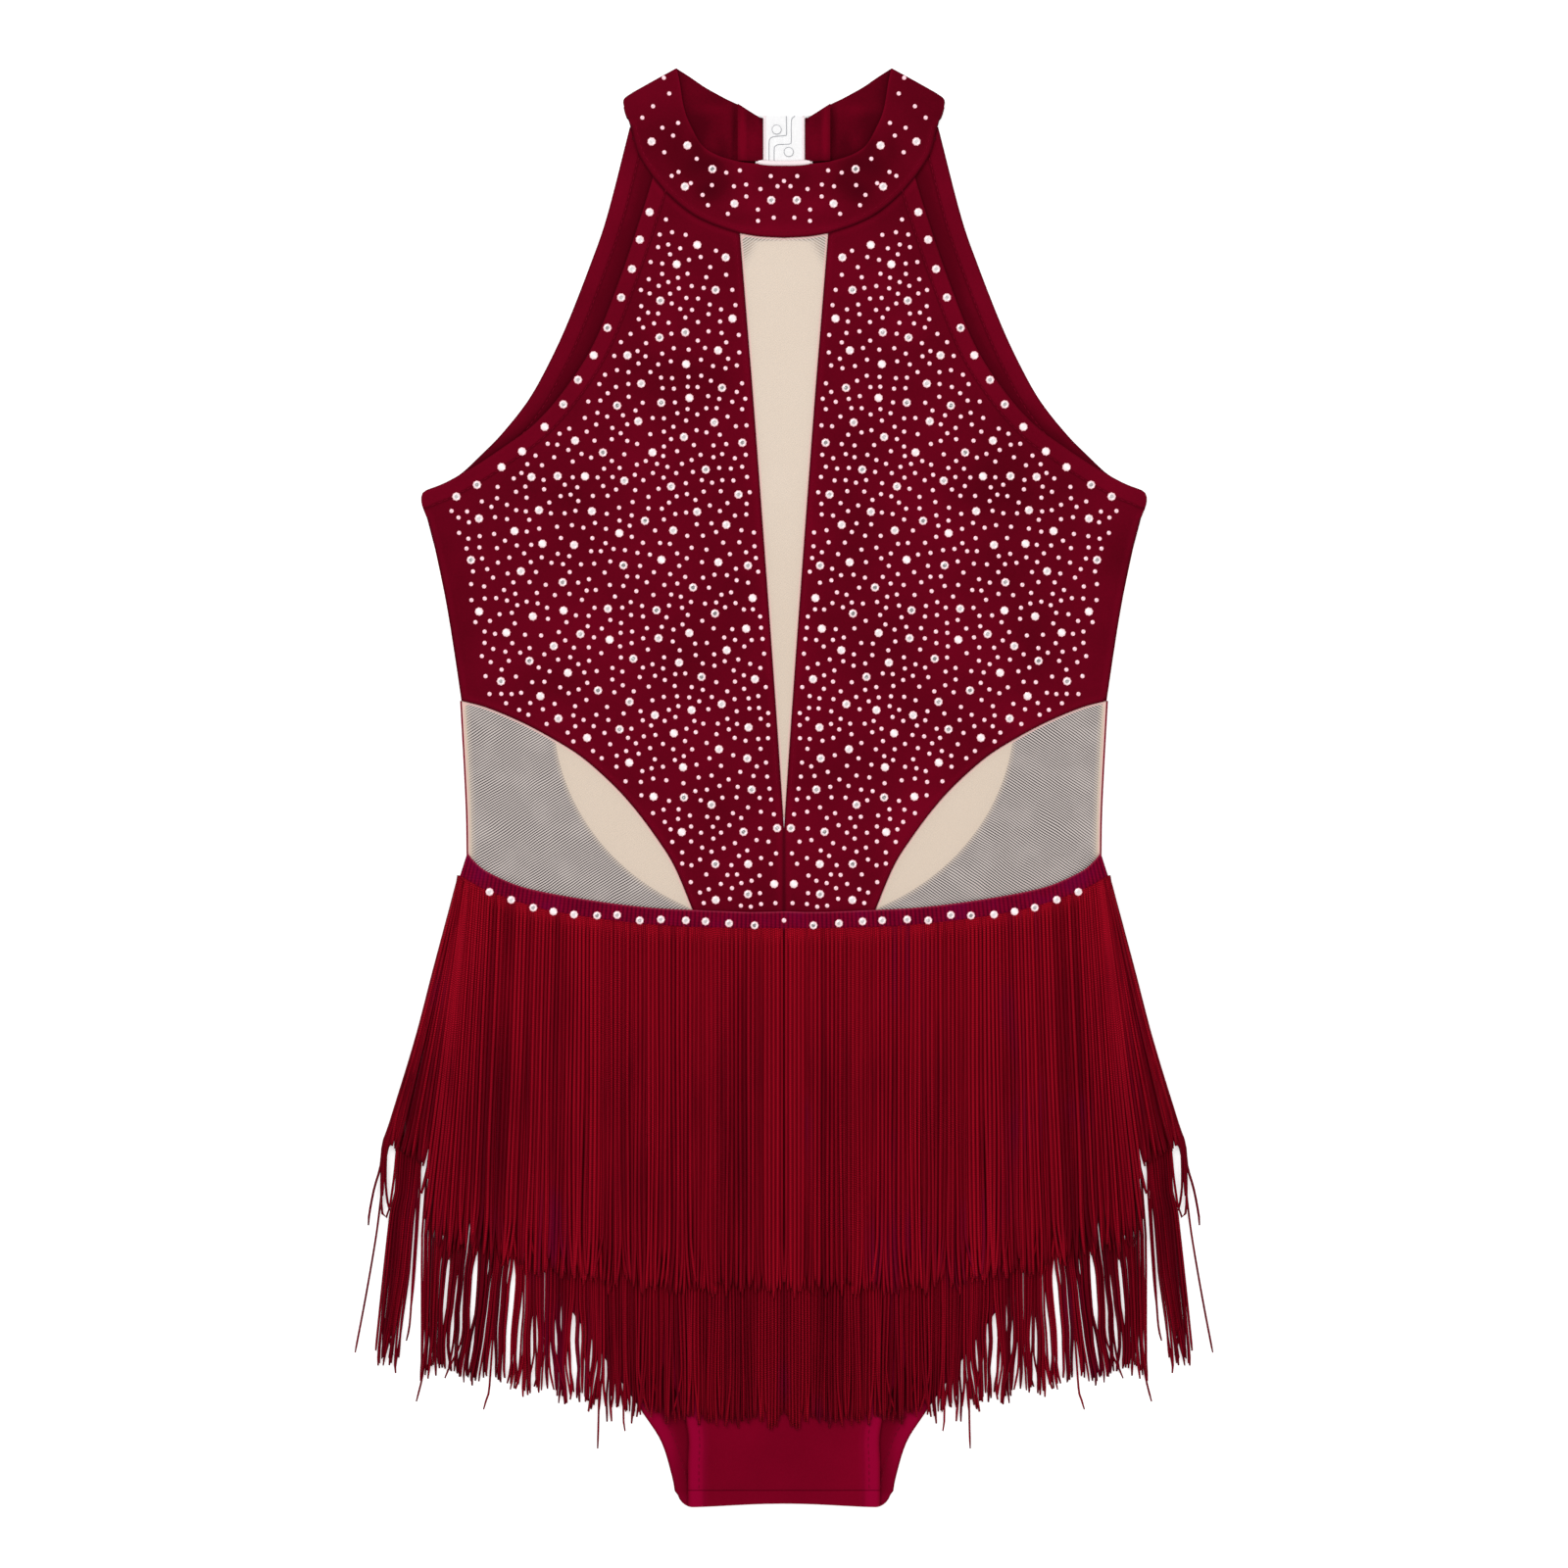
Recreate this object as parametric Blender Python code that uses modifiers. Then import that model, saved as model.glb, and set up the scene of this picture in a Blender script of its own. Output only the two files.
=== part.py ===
"""Ballet leotard with a halter collar and a two-tier fringe skirt, laid flat with its front up.

The garment lies on the plane z = 0. Its middle line is x = 0, the neck points to +Y, and the camera
that shows it looks straight down. Tables and constants are in millimetres and the meshes in metres.
The garment mirrors left to right, so every table describes the half with x above 0.
"""

import math
from collections import namedtuple

import bmesh
import bpy
import numpy as np

MM = 0.001

# Driving dimensions in millimetres
LENGTH = 734.0
CHEST_HALF = 185.0
WAIST_HALF = 161.2
HIP_HALF = 177.0
CROTCH_HALF = 49.0

# Layers in millimetres above the surface that the garment lies on
CLOTH = 1.0
LAYER_GAP = 0.3
SEAM_GAP = 0.3
FRONT_LEVEL = CLOTH + LAYER_GAP
TRIM_LEVEL = FRONT_LEVEL + CLOTH + LAYER_GAP

TOP = LENGTH / 2
BOTTOM = -LENGTH / 2

Mark = namedtuple("Mark", "x y")

# Stand collar, front stretch: its free upper edge, its seam to the body, and its folded end
NECKLINE = (
    Mark(0.0, 317.5), Mark(12.0, 318.0), Mark(28.0, 320.4), Mark(40.7, 326.7), Mark(47.5, 337.5),
    Mark(51.0, 346.8), Mark(53.3, 360.5), Mark(54.8, TOP),
)
COLLAR_SEAM_MIDDLE = (Mark(0.0, 280.5), Mark(12.5, 281.2), Mark(22.5, 282.8))
COLLAR_SEAM_PANEL = (
    Mark(22.5, 282.8), Mark(37.1, 287.8), Mark(48.0, 293.5), Mark(58.8, 302.5), Mark(66.8, 311.5),
)
COLLAR_SEAM_END = (Mark(66.8, 311.5), Mark(74.4, 323.5), Mark(78.2, 337.5))
COLLAR_SIDE = (Mark(78.2, 337.5), Mark(81.0, 346.2))
COLLAR_CORNER = (
    Mark(81.0, 346.2), Mark(82.0, 348.9), Mark(81.4, 351.6), Mark(77.2, 354.6),
)
COLLAR_FOLD = (Mark(77.2, 354.6), Mark(66.5, 360.6), Mark(54.8, TOP))

# Front bodice: V insert, armhole, side, and the arc above the side insert
V_TIP = -20.5
V_EDGE = (
    Mark(0.0, V_TIP), Mark(3.5, 32.0), Mark(8.5, 102.0), Mark(15.2, 192.0), Mark(18.0, 227.0),
    COLLAR_SEAM_MIDDLE[-1],
)
V_INSERT_FOOT = -15.0
FRONT_ARMHOLE = (
    Mark(172.0, 156.0), Mark(167.0, 158.7), Mark(157.0, 164.4), Mark(144.5, 172.7),
    Mark(127.0, 185.7), Mark(110.7, 204.5), Mark(96.5, 227.5), Mark(83.0, 261.5),
    Mark(72.0, 294.5), COLLAR_SEAM_PANEL[-1],
)
SIDE_SEAM = (
    Mark(164.5, 44.4), Mark(168.1, 68.7), Mark(171.8, 91.7), Mark(176.7, 116.5), Mark(182.0, 137.5),
)
UNDERARM = (
    Mark(182.0, 137.5), Mark(184.5, 143.8), Mark(CHEST_HALF, 147.8), Mark(184.0, 150.8),
    Mark(181.0, 152.4), Mark(176.3, 154.1), Mark(172.0, 156.0),
)
WAIST_SIDE = (Mark(WAIST_HALF, -35.5), Mark(161.5, -15.0), Mark(162.5, 8.0), Mark(164.5, 44.4))
INSERT_ARC = (
    Mark(45.4, -65.2), Mark(55.7, -40.5), Mark(65.2, -25.3), Mark(76.7, -10.0), Mark(88.2, 2.5),
    Mark(103.5, 15.9), Mark(118.8, 25.5), Mark(134.1, 33.6), Mark(151.3, 40.8), Mark(164.5, 44.4),
)
WAIST_MIDDLE = (Mark(0.0, -65.8), Mark(18.8, -66.0), Mark(45.4, -65.2))
WAIST_OUTER = (
    Mark(45.4, -65.2), Mark(65.2, -64.3), Mark(84.4, -62.3), Mark(103.5, -59.5), Mark(122.6, -56.1),
    Mark(137.0, -52.3), Mark(151.5, -45.6), Mark(WAIST_HALF, -35.5),
)

# Brief: hidden hip sides, leg openings of the front and of the back, and the crotch
HIP_SIDE = (
    Mark(HIP_HALF, -158.0), Mark(175.2, -123.0), Mark(169.3, -73.0), Mark(WAIST_HALF, -35.5),
)
CROTCH_SEAM = -358.0
FOLD_ARCH = 1.8
# Half widths of the turned crotch end, by its share of the turn
CROTCH_FOLD = ((0.0, 54.4), (0.25, 53.2), (0.5, 51.4), (0.75, CROTCH_HALF), (1.0, CROTCH_HALF))
FRONT_LEG = (
    Mark(CROTCH_HALF, CROTCH_SEAM), Mark(CROTCH_HALF, -345.0), Mark(CROTCH_HALF, -328.0),
    Mark(55.0, -308.0), Mark(75.0, -273.0), Mark(110.0, -228.0), Mark(150.0, -188.0),
    Mark(HIP_HALF, -158.0),
)
BACK_LEG = (
    Mark(55.8, -358.5), Mark(57.2, -351.0), Mark(62.4, -334.0), Mark(71.2, -320.0),
    Mark(90.0, -293.0), Mark(125.0, -243.0), Mark(160.0, -193.0), Mark(HIP_HALF, -158.0),
)

# Back: open keyhole, armhole edge with its band, and the seam below the collar
BACK_ARMHOLE = (
    Mark(172.0, 156.0), Mark(164.4, 160.6), Mark(154.6, 169.8), Mark(143.8, 180.8),
    Mark(130.5, 197.7), Mark(120.0, 216.5), Mark(110.3, 237.5), Mark(98.6, 267.5),
    Mark(90.2, 292.0), Mark(78.6, 337.2),
)
BAND_WIDTH = 23.0
BAND_FOOT = Mark(178.6, 124.5)
KEYHOLE_HALF = 117.5
KEYHOLE_RISE = 108.0
KEYHOLE_LEVEL = 37.5
KEYHOLE_FOOT = Mark(45.4, -65.2)
KEYHOLE_FOOT_ANGLE = math.acos(KEYHOLE_FOOT.x / KEYHOLE_HALF)
KEYHOLE_UPPER = (
    Mark(KEYHOLE_HALF, KEYHOLE_LEVEL), Mark(114.0, 62.0), Mark(100.0, 107.0), Mark(80.0, 152.0),
    Mark(55.0, 202.0), Mark(35.0, 242.0), Mark(21.5, 267.0), Mark(14.2, 283.0), Mark(14.5, 318.3),
)
BACK_NECK_START = (Mark(14.5, 318.3), Mark(24.0, 316.2))
BACK_NECK_SEAM = (Mark(24.0, 316.2), Mark(36.0, 314.5), Mark(48.0, 315.2), Mark(59.5, 319.2))
BAND_NECK_SEAM = (Mark(59.5, 319.2), Mark(68.5, 326.3), Mark(78.6, 337.2))

# Back collar, and the clasp that its two looped ends hold
BACK_COLLAR_TOP = (
    Mark(24.0, 348.8), Mark(30.0, 351.7), Mark(40.0, 357.2), Mark(47.5, 362.3), Mark(54.8, TOP),
)
LOOP_SEAM_X = 24.0
LOOP_TURN_X = 12.3
LOOP_RADIUS = 1.3
LOOP_STEPS = 6
LOOP_INSET = 0.4
LOOP_NARROWING = 0.6
CLASP_Y = 330.4
BAND_END_HALF = 11.2
CLASP_HALF_HEIGHT = 12.4
CLASP_SLOT_HALF = 11.5
CLASP_OUTER_X = 14.0
CLASP_BAR_WIDTH = 1.8
CLASP_SLOT_WIDTH = 2.1
CLASP_GAP = 0.3
CLASP_STEPS = (
    Mark(3.2, CLASP_HALF_HEIGHT), Mark(3.2, -2.5), Mark(0.2, -2.5), Mark(0.2, 0.8),
    Mark(-4.4, 0.8), Mark(-4.4, -CLASP_HALF_HEIGHT),
)
PIP_RADIUS = 2.2
PIP_HEIGHT = 0.5
LEFT_PIP = Mark(-3.75, 5.2)
RIGHT_PIP = Mark(2.4, -6.2)

# Fringe trim
STRANDS = 120
STRAND_FILL = 0.8
STRAND_WIDEST = 3.4
STRAND_THICK = 1.2
ROOT_TAPER = 5.0
HEADING_DEPTH = 10.0
MIN_STEP = 4.0
ROOT_TOLERANCE = 0.05
FLOOR_GAP = 0.5
DROOP_REACH = 45.0
TIER_RISE = STRAND_THICK + 0.35
HEADING_FOOT = (
    Mark(0.0, -73.0), Mark(47.0, -72.3), Mark(84.4, -69.3), Mark(122.6, -63.2), Mark(151.5, -53.6),
    Mark(165.8, -46.0),
)
HEADING_TOP = (
    Mark(0.0, -62.9), Mark(18.8, -63.2), Mark(47.0, -62.1), Mark(65.2, -61.2), Mark(84.4, -59.2),
    Mark(103.5, -56.4), Mark(122.6, -53.0), Mark(137.0, -49.2), Mark(151.5, -42.5),
    Mark(158.0, -37.2), Mark(161.4, -33.0),
)
LOWER_HEADING_TOP = (
    Mark(0.0, -125.0), Mark(60.0, -124.0), Mark(120.0, -120.0), Mark(174.0, -112.0),
)
LOWER_HEADING_FOOT = tuple(Mark(mark.x, mark.y - HEADING_DEPTH) for mark in LOWER_HEADING_TOP)
UPPER_ENDS = (
    Mark(0.0, -253.0), Mark(125.0, -243.0), Mark(160.0, -237.0), Mark(180.0, -228.0),
    Mark(195.0, -212.0), Mark(205.0, -216.0), Mark(220.0, -224.0),
)
LOWER_ENDS = (
    Mark(0.0, -324.0), Mark(50.0, -322.0), Mark(100.0, -316.0), Mark(150.0, -303.0),
    Mark(185.0, -296.0), Mark(205.0, -291.0), Mark(220.0, -288.0),
)
# Loose strands that reach past their neighbours, as seen at the skirt's lower edge
UPPER_STRAYS = (Mark(212.0, -223.0), Mark(203.0, -219.0))
LOWER_STRAYS = (
    Mark(85.0, -323.0), Mark(95.0, -337.0), Mark(152.5, -317.0), Mark(182.0, -310.0),
    Mark(218.5, -288.0),
)
STRAY_REACH = 1.6
# Each tier splays by SPLAY at its outermost strand, and less inwards by the power given here
SPLAY = 0.278
UPPER_SPLAY_POWER = 3
LOWER_SPLAY_POWER = 7
END_SCATTER = 5.0
SCATTER_RATE = 2.399963

# Front billow: a soft swell over each side of the chest
SWELL_HEIGHT = 2.2
SWELL_CENTRE = Mark(78.0, 140.0)
SWELL_REACH = Mark(42.0, 62.0)
COLLAR_ROLL = 1.2

# Grid cells along each run; pieces on both sides of a seam share its count
ARC_CELLS = 9
WAIST_CELLS = 3
SIDE_CELLS = 4
UNDERARM_CELLS = 5
ARMHOLE_CELLS = 10
V_CELLS = 17
MIDDLE_CELLS = 2
INSERT_CELLS = 4
LEG_CELLS = 7
HIP_CELLS = 3
BACK_WAIST_CELLS = 6
SCOOP_CELLS = 6
KEYHOLE_CELLS = 13
NECK_CELLS = 5
BAND_CELLS = 10
BAND_NECK_CELLS = 3
INSERT_TIP = 0.15

Finish = namedtuple("Finish", "name colour roughness metallic")
BURGUNDY = Finish("burgundy_knit", (0.127, 0.0015, 0.0086), 0.62, 0.0)
NUDE_NET = Finish("nude_net", (0.78, 0.66, 0.52), 0.7, 0.0)
FRINGE_YARN = Finish("fringe_yarn", (0.162, 0.0022, 0.0075), 0.45, 0.0)
CLEAR_PLASTIC = Finish("clear_plastic", (0.86, 0.87, 0.88), 0.12, 0.0)


# Curves and sheets of points

def smooth(marks, cells):
    """Return cells + 1 points, evenly spaced along a smooth curve through the marks."""
    points = np.array(marks, dtype=float)
    before = 2 * points[0] - points[1]
    after = 2 * points[-1] - points[-2]
    knots = np.vstack([before, points, after])
    dense = []
    for index in range(1, len(knots) - 2):
        start, begin, end, stop = knots[index - 1:index + 3]
        for t in np.linspace(0.0, 1.0, 12, endpoint=False):
            dense.append(0.5 * (2 * begin + (end - start) * t
                                + (2 * start - 5 * begin + 4 * end - stop) * t ** 2
                                + (3 * begin - start - 3 * end + stop) * t ** 3))
    dense.append(points[-1])
    dense = np.array(dense)
    steps = np.linalg.norm(np.diff(dense, axis=0), axis=1)
    lengths = np.concatenate([[0.0], np.cumsum(steps)])
    wanted = np.linspace(0.0, lengths[-1], cells + 1)
    return np.column_stack([np.interp(wanted, lengths, dense[:, axis]) for axis in (0, 1)])


def join(*runs):
    """Join runs of points end to end, each starting where the last one stopped."""
    return np.vstack([runs[0]] + [run[1:] for run in runs[1:]])


def both_sides(run):
    """Return a run that starts at x = 0, continued to the left by its mirror image."""
    mirror = run[::-1] * (-1.0, 1.0)
    return join(mirror, run)


def shifted(run, distance):
    """Move a run sideways, to the left of its direction when the distance is positive."""
    steps = np.diff(run, axis=0)
    steps /= np.linalg.norm(steps, axis=1)[:, None]
    sides = np.column_stack([-steps[:, 1], steps[:, 0]])
    before = np.vstack([sides[:1], sides])
    after = np.vstack([sides, sides[-1:]])
    middle = before + after
    middle /= np.sum(middle * after, axis=1)[:, None]
    return run + distance * middle


def fractions(run):
    """Return how far along the run each of its points lies, from 0 to 1."""
    steps = np.linalg.norm(np.diff(run, axis=0), axis=1)
    lengths = np.concatenate([[0.0], np.cumsum(steps)])
    return lengths / lengths[-1]


def meet(first, second):
    """Return the point where the last line of one run crosses the first line of the next."""
    p, q = first[-1], second[0]
    d = first[-1] - first[-2]
    e = second[1] - second[0]
    cross = d[0] * e[1] - d[1] * e[0]
    if abs(cross) < 1e-9 * np.linalg.norm(d) * np.linalg.norm(e) or abs(cross) < 1e-6:
        return (p + q) / 2
    t = ((q[0] - p[0]) * e[1] - (q[1] - p[1]) * e[0]) / cross
    return p + t * d


def sheet(bottom, right, top, left, gap=SEAM_GAP / 2):
    """Fill four runs with a grid of points, after drawing each side in by the seam gap.

    The runs bottom and top go to the right, and left and right go up. The result is an array of
    rows by columns by (x, y).
    """
    bottom, right = shifted(bottom, gap), shifted(right, gap)
    top, left = shifted(top, -gap), shifted(left, -gap)
    corners = {
        "bottom_right": meet(bottom, right),
        "top_right": meet(right, top[::-1]),
        "top_left": meet(left, top),
        "bottom_left": meet(bottom[::-1], left),
    }
    bottom[0] = left[0] = corners["bottom_left"]
    bottom[-1] = right[0] = corners["bottom_right"]
    top[0] = left[-1] = corners["top_left"]
    top[-1] = right[-1] = corners["top_right"]
    across = ((fractions(bottom) + fractions(top)) / 2)[None, :, None]
    along = ((fractions(left) + fractions(right)) / 2)[:, None, None]
    ruled_up = (1 - along) * bottom[None] + along * top[None]
    ruled_across = (1 - across) * left[:, None] + across * right[:, None]
    corner_sheet = ((1 - across) * (1 - along) * corners["bottom_left"]
                    + across * (1 - along) * corners["bottom_right"]
                    + (1 - across) * along * corners["top_left"]
                    + across * along * corners["top_right"])
    return ruled_up + ruled_across - corner_sheet


def lift(flat, height):
    """Add heights, from a function of x and y, to a sheet of flat points."""
    heights = height(flat[..., 0], flat[..., 1])
    return np.concatenate([flat, heights[..., None]], axis=2)


def mirrored(points):
    """Mirror a sheet left to right and keep its columns running to the right."""
    return points[:, ::-1] * (-1.0, 1.0, 1.0)


# Heights

def back_height(x, y):
    """Underside of the back pieces, which rest on the surface."""
    return np.zeros_like(x)


def front_height(x, y):
    """Underside of the front pieces: flat on the back, with a soft swell over the chest."""
    across = (np.abs(x) - SWELL_CENTRE.x) / SWELL_REACH.x
    along = (y - SWELL_CENTRE.y) / SWELL_REACH.y
    return FRONT_LEVEL + SWELL_HEIGHT * np.exp(-(across ** 2 + along ** 2))


def collar_height(x, y):
    """Underside of the front collar, which rolls up towards its middle."""
    roll = np.clip((340.0 - y) / 40.0, 0.0, 1.0) * np.exp(-(x / 45.0) ** 2)
    seam = np.clip((y - 281.0) / 18.0, 0.0, 1.0)
    return front_height(x, y) + COLLAR_ROLL * roll * seam * (2 - seam)


# Objects

def material(finish):
    """Return the finish's Principled material, made at its first use."""
    made = bpy.data.materials.get(finish.name)
    if made is None:
        made = bpy.data.materials.new(finish.name)
        made.use_nodes = True
        shader = made.node_tree.nodes["Principled BSDF"]
        shader.inputs["Base Color"].default_value = (*finish.colour, 1.0)
        shader.inputs["Roughness"].default_value = finish.roughness
        shader.inputs["Metallic"].default_value = finish.metallic
        made.diffuse_color = (*finish.colour, 1.0)
    return made


def add_mesh(name, mesh, finish, parts):
    """Make a named object of a mesh and put it among the parts."""
    piece = bpy.data.objects.new(name, mesh)
    mesh.materials.append(material(finish))
    parts.objects.link(piece)
    return piece


def cloth(name, points, finish, parts, middle=False):
    """Make a cloth wall from a sheet of points on its underside, or on its middle surface."""
    rows, columns = points.shape[0] - 1, points.shape[1] - 1
    grid = bmesh.new()
    bmesh.ops.create_grid(grid, x_segments=columns, y_segments=rows, size=1.0)
    for vert in grid.verts:
        column = round((vert.co.x + 1.0) / 2.0 * columns)
        row = round((vert.co.y + 1.0) / 2.0 * rows)
        vert.co = points[row, column] * MM
    mesh = bpy.data.meshes.new(name)
    grid.to_mesh(mesh)
    grid.free()
    piece = add_mesh(name, mesh, finish, parts)
    wall = piece.modifiers.new("wall", "SOLIDIFY")
    wall.thickness = CLOTH * MM
    wall.offset = 0.0 if middle else 1.0
    mesh.shade_smooth()
    mesh.set_sharp_from_angle(angle=math.radians(40))
    return piece


# Bodice, inserts and brief

def run_waist():
    """Waist seam from the middle to the side, hidden under the upper heading."""
    return join(smooth(WAIST_MIDDLE, WAIST_CELLS), smooth(WAIST_OUTER, ARC_CELLS))


def add_front_panels(parts):
    """Front bodice halves, from the collar seam to the waist."""
    top = smooth(COLLAR_SEAM_PANEL, WAIST_CELLS + ARC_CELLS)
    centre = smooth((Mark(0.0, WAIST_MIDDLE[0].y), Mark(0.0, V_TIP)), 2)
    left = join(centre, smooth(V_EDGE, V_CELLS))
    right = join(smooth(SIDE_SEAM, SIDE_CELLS), smooth(UNDERARM, UNDERARM_CELLS),
                 smooth(FRONT_ARMHOLE, ARMHOLE_CELLS))
    bottom = join(smooth(WAIST_MIDDLE, WAIST_CELLS), smooth(INSERT_ARC, ARC_CELLS))
    points = lift(sheet(bottom, right, top, left), front_height)
    cloth("front_panel_right", points, BURGUNDY, parts)
    cloth("front_panel_left", mirrored(points), BURGUNDY, parts)


def add_v_insert(parts):
    """Narrow V of net at the centre front."""
    edge = smooth([Mark(np.interp(V_INSERT_FOOT, [V_TIP, 32.0], [0.0, 3.5]), V_INSERT_FOOT)]
                  + list(V_EDGE[1:]), V_CELLS)
    left = edge * (-1.0, 1.0)
    top = both_sides(smooth(COLLAR_SEAM_MIDDLE, MIDDLE_CELLS))
    bottom = smooth((Mark(*left[0]), Mark(*edge[0])), len(top) - 1)
    cloth("front_mesh_insert", lift(sheet(bottom, edge, top, left), front_height), NUDE_NET, parts)


def add_side_inserts(parts):
    """Quarter-ellipse net inserts at the waist."""
    bottom = smooth(WAIST_OUTER, ARC_CELLS)
    top = smooth(INSERT_ARC, ARC_CELLS)
    bottom[0] += INSERT_TIP * (bottom[1] - bottom[0])
    top[0] += INSERT_TIP * (top[1] - top[0])
    left = smooth((Mark(*bottom[0]), Mark(*top[0])), INSERT_CELLS)
    right = smooth(WAIST_SIDE, INSERT_CELLS)
    points = lift(sheet(bottom, right, top, left), front_height)
    cloth("side_mesh_right", points, NUDE_NET, parts)
    cloth("side_mesh_left", mirrored(points), NUDE_NET, parts)


def add_front_brief(parts):
    """Front of the brief, down to the crotch seam."""
    top = both_sides(run_waist())
    right = join(smooth(FRONT_LEG, LEG_CELLS), smooth(HIP_SIDE, HIP_CELLS))
    left = right * (-1.0, 1.0)
    bottom = smooth((Mark(*left[0]), Mark(*right[0])), len(top) - 1)
    cloth("front_brief", lift(sheet(bottom, right, top, left), front_height), BURGUNDY, parts)


def keyhole_arc(start, end, cells):
    """Return points on the lower arc of the open back, between two angles below its middle."""
    angles = np.linspace(start, end, cells + 1)
    return np.column_stack([KEYHOLE_HALF * np.cos(angles),
                            KEYHOLE_LEVEL - KEYHOLE_RISE * np.sin(angles)])


def add_back_brief(parts):
    """Back of the brief, whose crotch end turns up and lies on in line with the front."""
    waist = smooth(WAIST_OUTER, BACK_WAIST_CELLS)
    scoop = keyhole_arc(math.pi / 2, KEYHOLE_FOOT_ANGLE, 2)
    scoop[-1] = waist[0]
    top = both_sides(join(scoop, waist))
    right = join(smooth(BACK_LEG, LEG_CELLS), smooth(HIP_SIDE, HIP_CELLS))
    left = right * (-1.0, 1.0)
    bottom = smooth((Mark(*left[0]), Mark(*right[0])), len(top) - 1)
    flat = sheet(bottom, right, top, left)
    upward = lift(flat, lambda x, y: np.full_like(x, CLOTH / 2))
    turn_radius = FRONT_LEVEL / 2
    turn_y = BOTTOM + turn_radius + CLOTH / 2
    across = flat[0, :, 0] / flat[0, -1, 0]
    turned = []
    for part, half in CROTCH_FOLD:
        angle = part * math.pi
        y = turn_y - turn_radius * math.sin(angle) + FOLD_ARCH * (1 - across ** 2) ** 2
        z = CLOTH / 2 + turn_radius * (1 - math.cos(angle))
        turned.append(np.column_stack([across * half, y, np.full_like(across, z)]))
    end_y = CROTCH_SEAM - SEAM_GAP
    turned.append(np.column_stack([across * CROTCH_HALF, np.full_like(across, end_y),
                                   np.full_like(across, FRONT_LEVEL + CLOTH / 2)]))
    points = np.concatenate([np.array(turned[::-1]), upward])
    cloth("back_brief", points, BURGUNDY, parts, middle=True)


def run_keyhole():
    """Edge of the open back, from the waist up to the collar."""
    scoop = keyhole_arc(KEYHOLE_FOOT_ANGLE, 0.0, SCOOP_CELLS)
    scoop[0] = KEYHOLE_FOOT
    return join(scoop, smooth(KEYHOLE_UPPER, KEYHOLE_CELLS))


def run_back_armhole():
    """Outer edge of the armhole band, from the side seam up to the collar."""
    return join(smooth(UNDERARM[2:], BAND_NECK_CELLS), smooth(BACK_ARMHOLE, BAND_CELLS))


def run_band():
    """Inner edge of the armhole band, from the side seam up to the collar."""
    inner = shifted(smooth(BACK_ARMHOLE, BAND_CELLS), BAND_WIDTH)
    inner[-1] = BAND_NECK_SEAM[0]
    return join(smooth((BAND_FOOT, Mark(*inner[1])), BAND_NECK_CELLS + 1), inner[1:])


def add_back_pieces(parts):
    """Net sides of the open back, and the bands along the armholes."""
    side = smooth(WAIST_SIDE + SIDE_SEAM[1:3] + (BAND_FOOT,), BACK_WAIST_CELLS)
    right = join(side, run_band())
    waist = smooth(WAIST_OUTER, BACK_WAIST_CELLS)
    neck = join(smooth(BACK_NECK_START, 1), smooth(BACK_NECK_SEAM, NECK_CELLS))
    net = lift(sheet(waist, right, neck, run_keyhole()), back_height)
    cloth("back_mesh_right", net, NUDE_NET, parts)
    cloth("back_mesh_left", mirrored(net), NUDE_NET, parts)
    armhole = run_back_armhole()
    foot = smooth((BAND_FOOT,) + UNDERARM[:3], BAND_NECK_CELLS)
    head = smooth(BAND_NECK_SEAM, BAND_NECK_CELLS)
    band = lift(sheet(foot, armhole, head, run_band()), back_height)
    cloth("back_band_right", band, BURGUNDY, parts)
    cloth("back_band_left", mirrored(band), BURGUNDY, parts)


# Collar and clasp

def run_collar_end():
    """Folded end of the collar at the shoulder, from its seam up to its tip."""
    return join(smooth(COLLAR_SIDE, 1), smooth(COLLAR_CORNER, 3), smooth(COLLAR_FOLD, 2))


def add_front_collar(parts):
    """Front stretch of the stand collar, from one shoulder fold to the other."""
    half_seam = join(smooth(COLLAR_SEAM_MIDDLE, MIDDLE_CELLS),
                     smooth(COLLAR_SEAM_PANEL, WAIST_CELLS + ARC_CELLS),
                     smooth(COLLAR_SEAM_END, BAND_NECK_CELLS))
    seam = both_sides(half_seam)
    neckline = both_sides(smooth(NECKLINE, len(half_seam) - 1))
    right = run_collar_end()
    left = right * (-1.0, 1.0)
    points = lift(sheet(seam, right, neckline, left), collar_height)
    cloth("collar_front", points, BURGUNDY, parts)


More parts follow.
